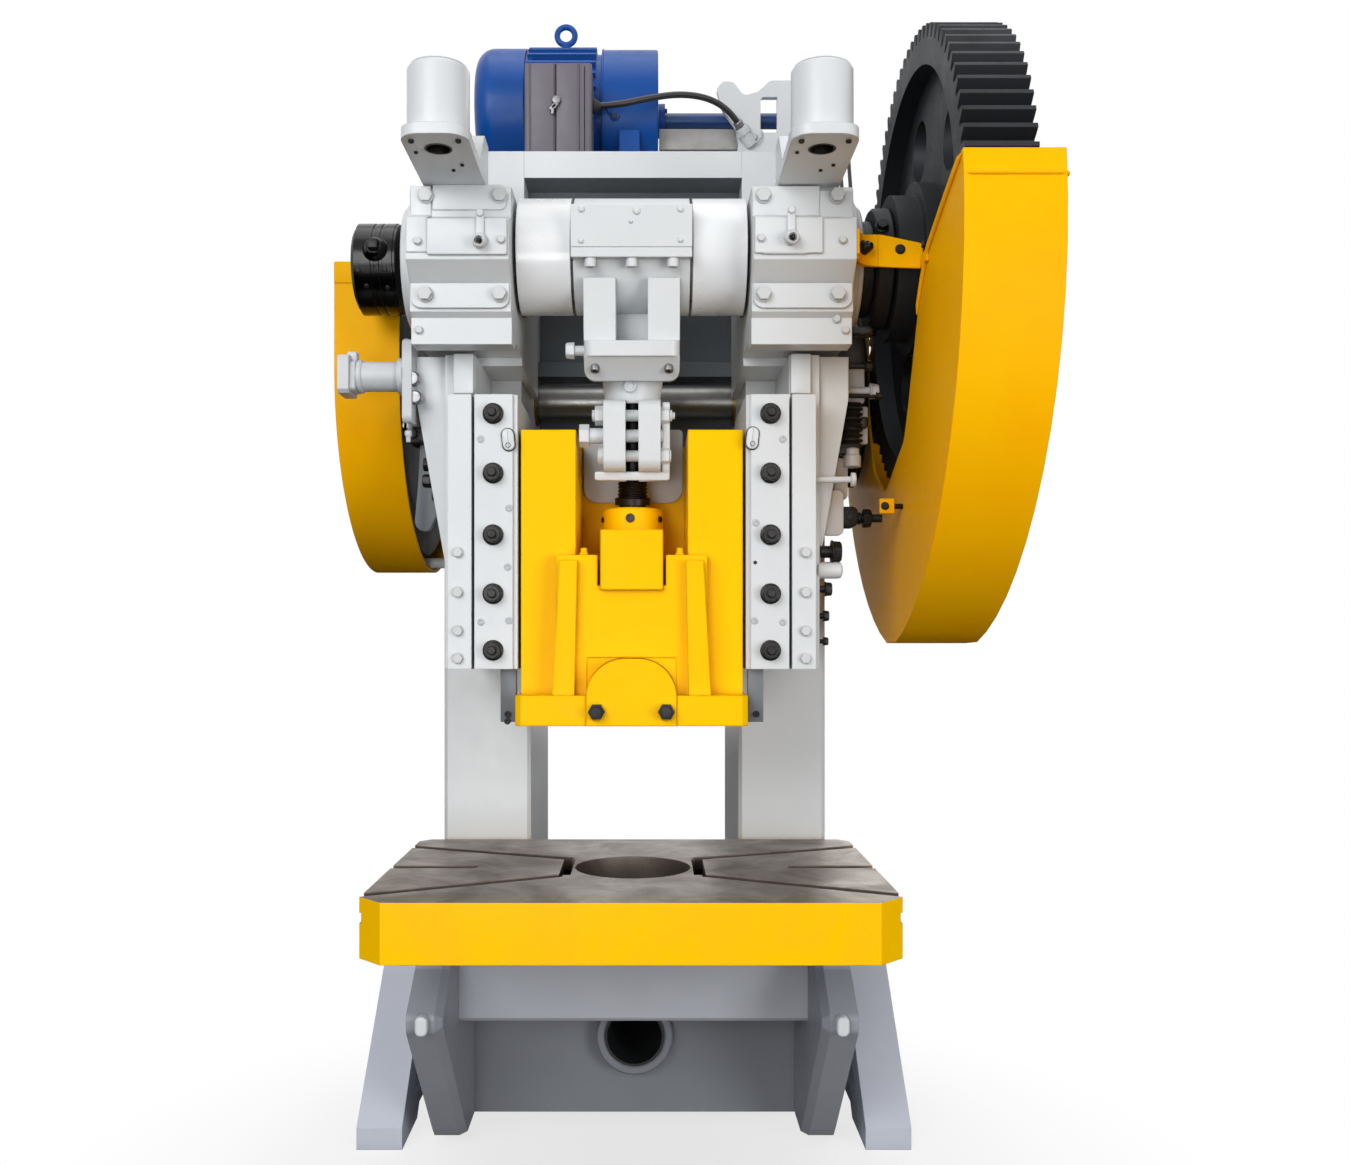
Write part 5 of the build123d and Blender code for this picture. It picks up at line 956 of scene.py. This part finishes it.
piece("motor_screws", shield_screws, dark_steel)
gland = [(6.4, 0), (8.2, 1.5), (8.2, 11), (9.4, 12), (9.4, 18), (7.4, 19), (7.4, 34)]
piece("cable_gland", [turned(gland, (182, 389, 1259), (0.5, 0.62, -0.6), 32)], bright_fitting)
clip_line = [(190, 408, 1250), (196, 404, 1236), (206, 402, 1226),
             (218, 402, 1226), (226, 404, 1236), (228, 408, 1250)]
clip = [pipe(clip_line, 1.6, 12), bolt_at((212, 412, 1238), FRONT, 13, 5, 2, 9)]
piece("cable_clip", clip, light_enamel)

# %% [markdown]
# ## Screws of the clutch sleeve, and a sleeve in the base
# Three screws stand round the clutch sleeve. In the base, the round hole of the front panel leads into
# a dark tube, whose dark iron is a painted shade for the inside of the base. A tube is a lathe shape
# that covers a narrow band: its profile closes on itself.

# %% Sleeve screws and base tube
SLEEVE_X, SLEEVE_R = 352, 86.0
COLLAR_Z, TUBE_FRONT, TUBE_LENGTH, TUBE_IN, TUBE_OUT = -328, 237, 250, 45.5, 49.6


def band(r_in, r_out, thick, count=96, edge=0.6):
    """Flat ring: a profile that runs up its inner wall backwards and its outer wall forwards."""
    profile = [(r_in + edge, thick), (r_in, thick - edge), (r_in, 0),
               (r_out, 0), (r_out, thick - edge), (r_out - edge, thick)]
    grid = around([(np.full(count, float(r)), h) for r, h in profile], count)
    m, n = grid.shape[:2]
    i, j = np.meshgrid(np.arange(m), np.arange(n), indexing="ij")
    a, b = i * n + j, i * n + (j + 1) % n
    up = n * ((i + 1) % m)
    quads = np.stack([a, b, up + (j + 1) % n, up + j], -1).reshape(-1, 4)
    return grid.reshape(-1, 3), quads.tolist()


CRANK_AXIS = (0, CRANK_Z)
sleeve_screws = [on_drum(hex_bolt(15, 7, 3, 10), SLEEVE_X, a - math.pi / 2, SLEEVE_R, CRANK_AXIS)
                 for a in (1.12, 3.2, 5.3)]
piece("sleeve_screws", sleeve_screws, dark_steel, "crank")
# the tube's dark iron stands for the shade inside the base: a painted shade
tube = [put(band(TUBE_IN, TUBE_OUT, TUBE_LENGTH), (0, TUBE_FRONT, COLLAR_Z), BACK),
        turned([(49, 0), (49, 3)], (0, TUBE_FRONT + TUBE_LENGTH - 1, COLLAR_Z), BACK, 64)]
piece("base_shade_tube", tube, wheel_iron)

# %% [markdown]
# ## The gear guard's bead
# The guard is a folded sheet steel box. A round bead stiffens its open edge: it runs across the front
# under the rim and then down the slanting edge of the window. A bead is a pipe along a line of points.
# The arm that holds the guard is rolled forward at its end, a quarter of a cylinder with a bolt through it.

# %% Beads and bracket bolts
GUARD_IN, GUARD_OUT = 397.0, 520.0
front_line = [(GUARD_IN + 1, -350, 893), (GUARD_IN + 8, -354, 893), (GUARD_OUT - 6, -354, 893),
              (GUARD_OUT + 2, -348, 893), (GUARD_OUT + 2, -300, 893), (GUARD_OUT + 2, -296, 893)]
slant = ((-338, 915), (-290, 899), (-246, 884), (-210, 871), (-176, 859), (-140, 828), (-112, 798))
slant_line = [(GUARD_IN - 1, -345, 918), *[(GUARD_IN - 2, y, z) for y, z in slant], (GUARD_IN - 1, -104, 787)]
beads = [pipe(front_line, [1.5, 3.2, 3.2, 3.2, 3.0, 1.0]),
         pipe(slant_line, [1.0, 3.0] + [3.4] * 5 + [2.6, 1.0])]
piece("guard_beads", beads, guard_enamel)
ROLL_X, ROLL_Y, ROLL_IN, ROLL_OUT = 336, -168, 31.5, 34.5
quarter = np.radians(np.linspace(0, 90, 10))
roll_line = [(ROLL_X - r * math.sin(a), ROLL_Y + r * math.cos(a), 0)
             for r, angles in ((ROLL_IN, quarter), (ROLL_OUT, quarter[::-1])) for a in angles]
piece("arm_roll", [plate(roll_line, 845, 886, 0.4, 2)], guard_enamel)
aslant, roll_bolt = (0.71, -0.71, 0), (313.8, -145.8, 867)
arm_bolts = [bolt_at(roll_bolt, aslant, 15, 7, 2, 10),
             turned([(5.5, 0), (5.5, 12), (4.5, 14)], roll_bolt, aslant, 24),
             bolt_at((366, -136, 868), FRONT, 10, 3, 1, 7), bolt_at((392, -170, 864), LEFT, 9, 4)]
piece("arm_bolts", arm_bolts, dark_steel)

# %% [markdown]
# ## The right side of the head
# Between the head and the gear guard sits a narrow column of controls: the clutch's trip fittings, a
# bellows, a lever and its clevis, and a row of bolts. They hang on the head's side face, which leans
# inwards going down, so one small function gives where that face is at a height.

# %% Trip gear on the right
def side_x(z):
    """Distance of the head's side face from the middle: 265 mm, then a slope up to 308 mm."""
    return 265 + min(max((z - 440) * 0.177, 0), 43)


def side_bolt(z, y, flats, head, shank=0.0, side=1, washer=2.0, spin=0.0):
    """Bolt head on a shank that stands out of the side face at a height."""
    out = (side, 0, 0)
    x = side * side_x(z)
    stem = turned([(flats * 0.32, -1), (flats * 0.32, shank + 1)], (x, y, z), out, 24)
    return [stem, bolt_at((x + side * shank, y, z), out, flats, head, washer, flats * 0.62, spin)]


def side_block(z0, z1, y, depth, x0, x1, r=4.0, side=1):
    """Rounded block seen from the front, between two distances from the middle."""
    return slab(oblong(x1 - x0, z1 - z0, r), depth, 1.5, (side * (x0 + x1) / 2, y + depth, (z0 + z1) / 2))


dark_right = []
for z, y, flats, head, shank, spin in ((728, -44, 12, 9, 26, 10), (690, -20, 10, 8, 46, 0),
                                       (460, -64, 27, 12, 14, 15), (407, -66, 17, 8, 8, 8),
                                       (369, -66, 13, 6, 6, 0), (333, -66, 10, 5, 6, 0)):
    dark_right += side_bolt(z, y, flats, head, shank, spin=spin)
dark_right += [turned([(7, -1), (7, 13)], (300, -120, 759), RIGHT, 24),
               bolt_at((313, -120, 759), RIGHT, 15, 16)]
dark_right += [side_block(741, 786, 10, 30, 301, 342, 6), side_block(648, 664, 4, 16, 336, 347, 3),
               side_block(606, 622, -12, 18, 300, 334, 7)]
piece("trip_bolts", dark_right, dark_steel)
BELLOWS_R, BELLOWS_WAVE, BELLOWS_FOLDS, BELLOWS_LENGTH = 16.5, 3.2, 8, 62
folds = [(BELLOWS_R + BELLOWS_WAVE * math.cos(2 * math.pi * BELLOWS_FOLDS * u), BELLOWS_LENGTH * u)
         for u in np.linspace(0, 1, 45)]
bellows = turned([(9, -3), (9, -0.5), *folds, (9, 62.5), (9, 66)], (321, 8, 621), UP, 40)
piece("trip_bellows", [bellows], belt_rubber)
grey_right = [side_block(682, 740, -4, 46, 304, 341, 5), side_block(626, 682, 20, 8, 330, 350, 3),
              side_block(540, 602, -6, 22, 296, 316, 8), *side_bolt(698, -14, 19, 11, 38, spin=4),
              turned([(13, 0), (13, 16), (11, 18), (11, 26), (8, 28)], (322, -6, 588), UP, 32)]
piece("trip_housing", grey_right, light_enamel)
white_bar = [turned([(4.5, 0), (4.5, 54), (10, 54.5), (10, 60), (8, 61)], (253, -86, 560), RIGHT),
             side_block(486, 552, -30, 10, 274, 306, 9),
             turned([(12, -2), (12, 26), (11, 31), (7, 33), (1, 34)], (265, -64, 434), RIGHT, 32)]
piece("trip_bar", white_bar, white_enamel)
clevis = [(9, 0), (9, 8), (7, 9), (7, 14), (9.5, 15), (9.5, 24), (6, 25), (6, 40)]
fork = [side_block(500, 530, -10, 8, 296, 330, 8), side_block(500, 530, 16, 8, 296, 330, 8),
        turned([(5, -4), (5, 40)], (318, 28, 515), FRONT, 20), turned(clevis, (328, 7, 514), RIGHT, 24),
        bolt_at((340, 7, 514), RIGHT, 24, 12, spin=12)]
piece("trip_fork", fork, dark_steel)
tab_line = [(-10, -11, 2), (12, -11, 1), (12, 11, 1), (-10, 11, 2)]
piece("guard_tab", [slab(tab_line, 4, 0.8, (372, -4, 531))], guard_enamel)
tab_bolt = [bolt_at((370, -8, 531), FRONT, 9, 4, 1, 6),
            turned([(4, 0), (4, 20), (3.4, 21)], (378, -2, 531), RIGHT, 16)]
piece("tab_bolt", tab_bolt, dark_steel)

# %% [markdown]
# ## The left side of the head
# The brake's air cylinder ends in a squared cap with a clamp ear. Behind it hang a curved plate with
# two bolts, the black valve block and a long lever plate, all in the gap before the flywheel.

# %% Brake fittings on the left
BRAKE_X, BRAKE_Y, BRAKE_Z = -388, -68.0, 708.0
cap_corners = [(-21, -22, 5), (21, -22, 5), (21, 20, 9), (-21, 20, 9)]
clamp_ear = [(-8, -10, 2), (8, -10, 2), (8, 10, 4), (-8, 10, 4)]
brake_cap = [slab(cap_corners, 26, 2.5, (BRAKE_X, BRAKE_Y, BRAKE_Z), LEFT),
             slab(clamp_ear, 14, 1.5, (BRAKE_X, BRAKE_Y - 4, BRAKE_Z + 24), LEFT),
             turned([(22.5, 0), (23.5, 1), (23.5, 6), (22, 8)], (BRAKE_X, BRAKE_Y, BRAKE_Z), RIGHT, 48)]
piece("brake_cap", brake_cap, light_enamel)
hanger_line = [(0, 62, 4), (7, 62, 4), (12, 30, 30), (12, -30, 30),
               (6, -66, 5), (-2, -66, 5), (2, -20, 30), (2, 20, 30)]
hanger = [slab(hanger_line, 34, 1.5, (-322, BRAKE_Y + 20, BRAKE_Z - 10)),
          turned([(5, 0), (5, 6), (3.5, 8), (3, 16)], (-316, BRAKE_Y - 8, BRAKE_Z - 78), DOWN, 24)]
piece("brake_hanger", hanger, light_enamel)
hanger_bolts = [bolt_at((-309, BRAKE_Y - 12, BRAKE_Z - 6), FRONT, 18, 9, 2, 11, 10),
                bolt_at((-305, BRAKE_Y - 10, BRAKE_Z - 32), FRONT, 16, 9, 2, 10),
                turned([(4, 0), (4, 5), (3, 6)], (-318, BRAKE_Y - 14, BRAKE_Z + 34), FRONT, 20)]
piece("hanger_bolts", hanger_bolts, bright_fitting)
valve = [side_block(634, 700, 60, 60, 305, 346, 7, -1)]
valve += [side_block(z, z + 6, 55, 8, 306, 345, 1.5, -1) for z in (644, 656, 668, 680)]
valve += [turned([(9, 0), (9, 5), (6, 6), (6, 9)], (-318, 58, 641), FRONT),
          turned([(8, 0), (8, 5), (5, 6)], (-336, 58, 648), FRONT)]
for z, y, flats, head, shank, spin in ((598, 40, 20, 10, 10, 20), (572, 30, 18, 12, 12, 0),
                                       (552, 50, 15, 8, 9, 12)):
    valve += side_bolt(z, y, flats, head, shank, -1, spin=spin)
for side in BOTH:
    valve += [bolt_at((side * 300, 44, 1046), (side, 0, 0), 15, 8, 2, 10),
              turned([(7, 0), (7, 10), (5, 12)], (side * 299, 52, 1018), (side, 0, 0), 20)]
piece("valve_block", valve, dark_steel)
lever_line = [(-4, 96, 6), (16, 96, 6), (18, 20, 20), (22, -60, 16),
              (6, -92, 12), (-16, -84, 16), (-10, -20, 30)]
piece("brake_lever", [slab(lever_line, 14, 1.5, (-322, 96, 590))], stop_enamel)
link = [side_block(560, 640, 84, 12, 300, 316, 7, -1), side_block(530, 556, 60, 14, 284, 300, 3, -1)]
piece("brake_link", link, white_enamel)

# %% [markdown]
# ## The crank disc and the flywheel guard
# The black disc on the crankshaft's left end is turned and painted in gloss. It has bands round its
# rim, a boss with a square plug and small pins. The flywheel guard's top edge is folded over.

# %% Disc and fold
DISC_R, BOSS_X, BOSS_WAY = 64.0, -366, (0, -1, 0.18)
rims = []
for x, w in ((-398, 26), (-369, 9), (-357, 16)):
    rim = [(DISC_R - 1, 0), (DISC_R + 1.4, 0.8), (DISC_R + 1.4, w - 0.8), (DISC_R - 1, w)]
    rims.append(turned(rim, (x, 0, CRANK_Z), RIGHT, 96))
boss = [turned([(18, -3), (17, 4), (13, 9), (11, 11)], (BOSS_X, -DISC_R * 0.98, CRANK_Z + 12), BOSS_WAY, 40)]
stub = [turned([(9, -1), (9, 3), (7.5, 4), (7.5, 8)], (-402, 0, CRANK_Z + 6), LEFT)]
pins = [on_drum(round_bar([(3.6, -1), (3.6, 2.5), (2.4, 3.4)], 20), x, a, DISC_R, CRANK_AXIS)
        for x, a in ((-390, 0.28), (-352, 0.26), (-380, 0.62), (-350, 0.66))]
piece("disc_trim", rims + boss + stub, black_gloss, "crank")
piece("disc_pins", pins, dark_steel, "crank")
fold_line = [(-50, -16.5, 1), (50, -16.5, 1), (50, 16.5, 3), (-50, 16.5, 3)]
piece("guard_fold", [slab(fold_line, 1.6, 0.5, (-409, 75, 897.5))], guard_enamel)
plug_place = (BOSS_X, -DISC_R - 8, CRANK_Z + 14)
piece("disc_plug", [slab(oblong(14, 14, 1.5), 9, 1.2, plug_place, BOSS_WAY)], dark_steel, "crank")

# %% [markdown]
# ## The motor's cable
# The black cable leaves the terminal box, rises in one easy bow and goes into a gland on the bracket.
# It is a free cord, so it is one smooth spline through the same seven points as the solid tube.

# %% Lay the cable
CABLE_ROUTE = [(-0.072, 0.304, 1.250), (-0.034, 0.306, 1.252), (0.024, 0.320, 1.271), (0.082, 0.342, 1.288),
               (0.134, 0.362, 1.288), (0.172, 0.380, 1.270), (0.189, 0.394, 1.250)]
CABLE_DIAMETER = 0.011
cable_curve = bpy.data.curves.new("motor_cord", "CURVE")
cable_curve.dimensions = "3D"
spline = cable_curve.splines.new("NURBS")
spline.points.add(len(CABLE_ROUTE) - 1)
spline.points.foreach_set("co", np.column_stack([CABLE_ROUTE, np.ones(len(CABLE_ROUTE))]).ravel())
spline.order_u = 3
spline.use_endpoint_u = True
spline.resolution_u = 12
cable_curve.bevel_depth = CABLE_DIAMETER / 2
cable_curve.bevel_resolution = 6
cable_curve.materials.append(cable_rubber)
motor_cord = bpy.data.objects.new("motor_cord", cable_curve)
bpy.context.scene.collection.objects.link(motor_cord)
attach(motor_cord, "frame")
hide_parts("motor_cable")
print("cable laid through", len(CABLE_ROUTE), "points")

# %% [markdown]
# ## Measure and finish
# Both boxes are measured, and the print shows how far the small pieces reach past the solids.
# The small pieces may hardly reach past the solids.

# %% Boxes and the last line
dressed_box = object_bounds()
grown = [*(cad_box[0] - dressed_box[0]), *(dressed_box[1] - cad_box[1])]
print("grown by", [round(float(v) / MM, 1) for v in grown], "mm")
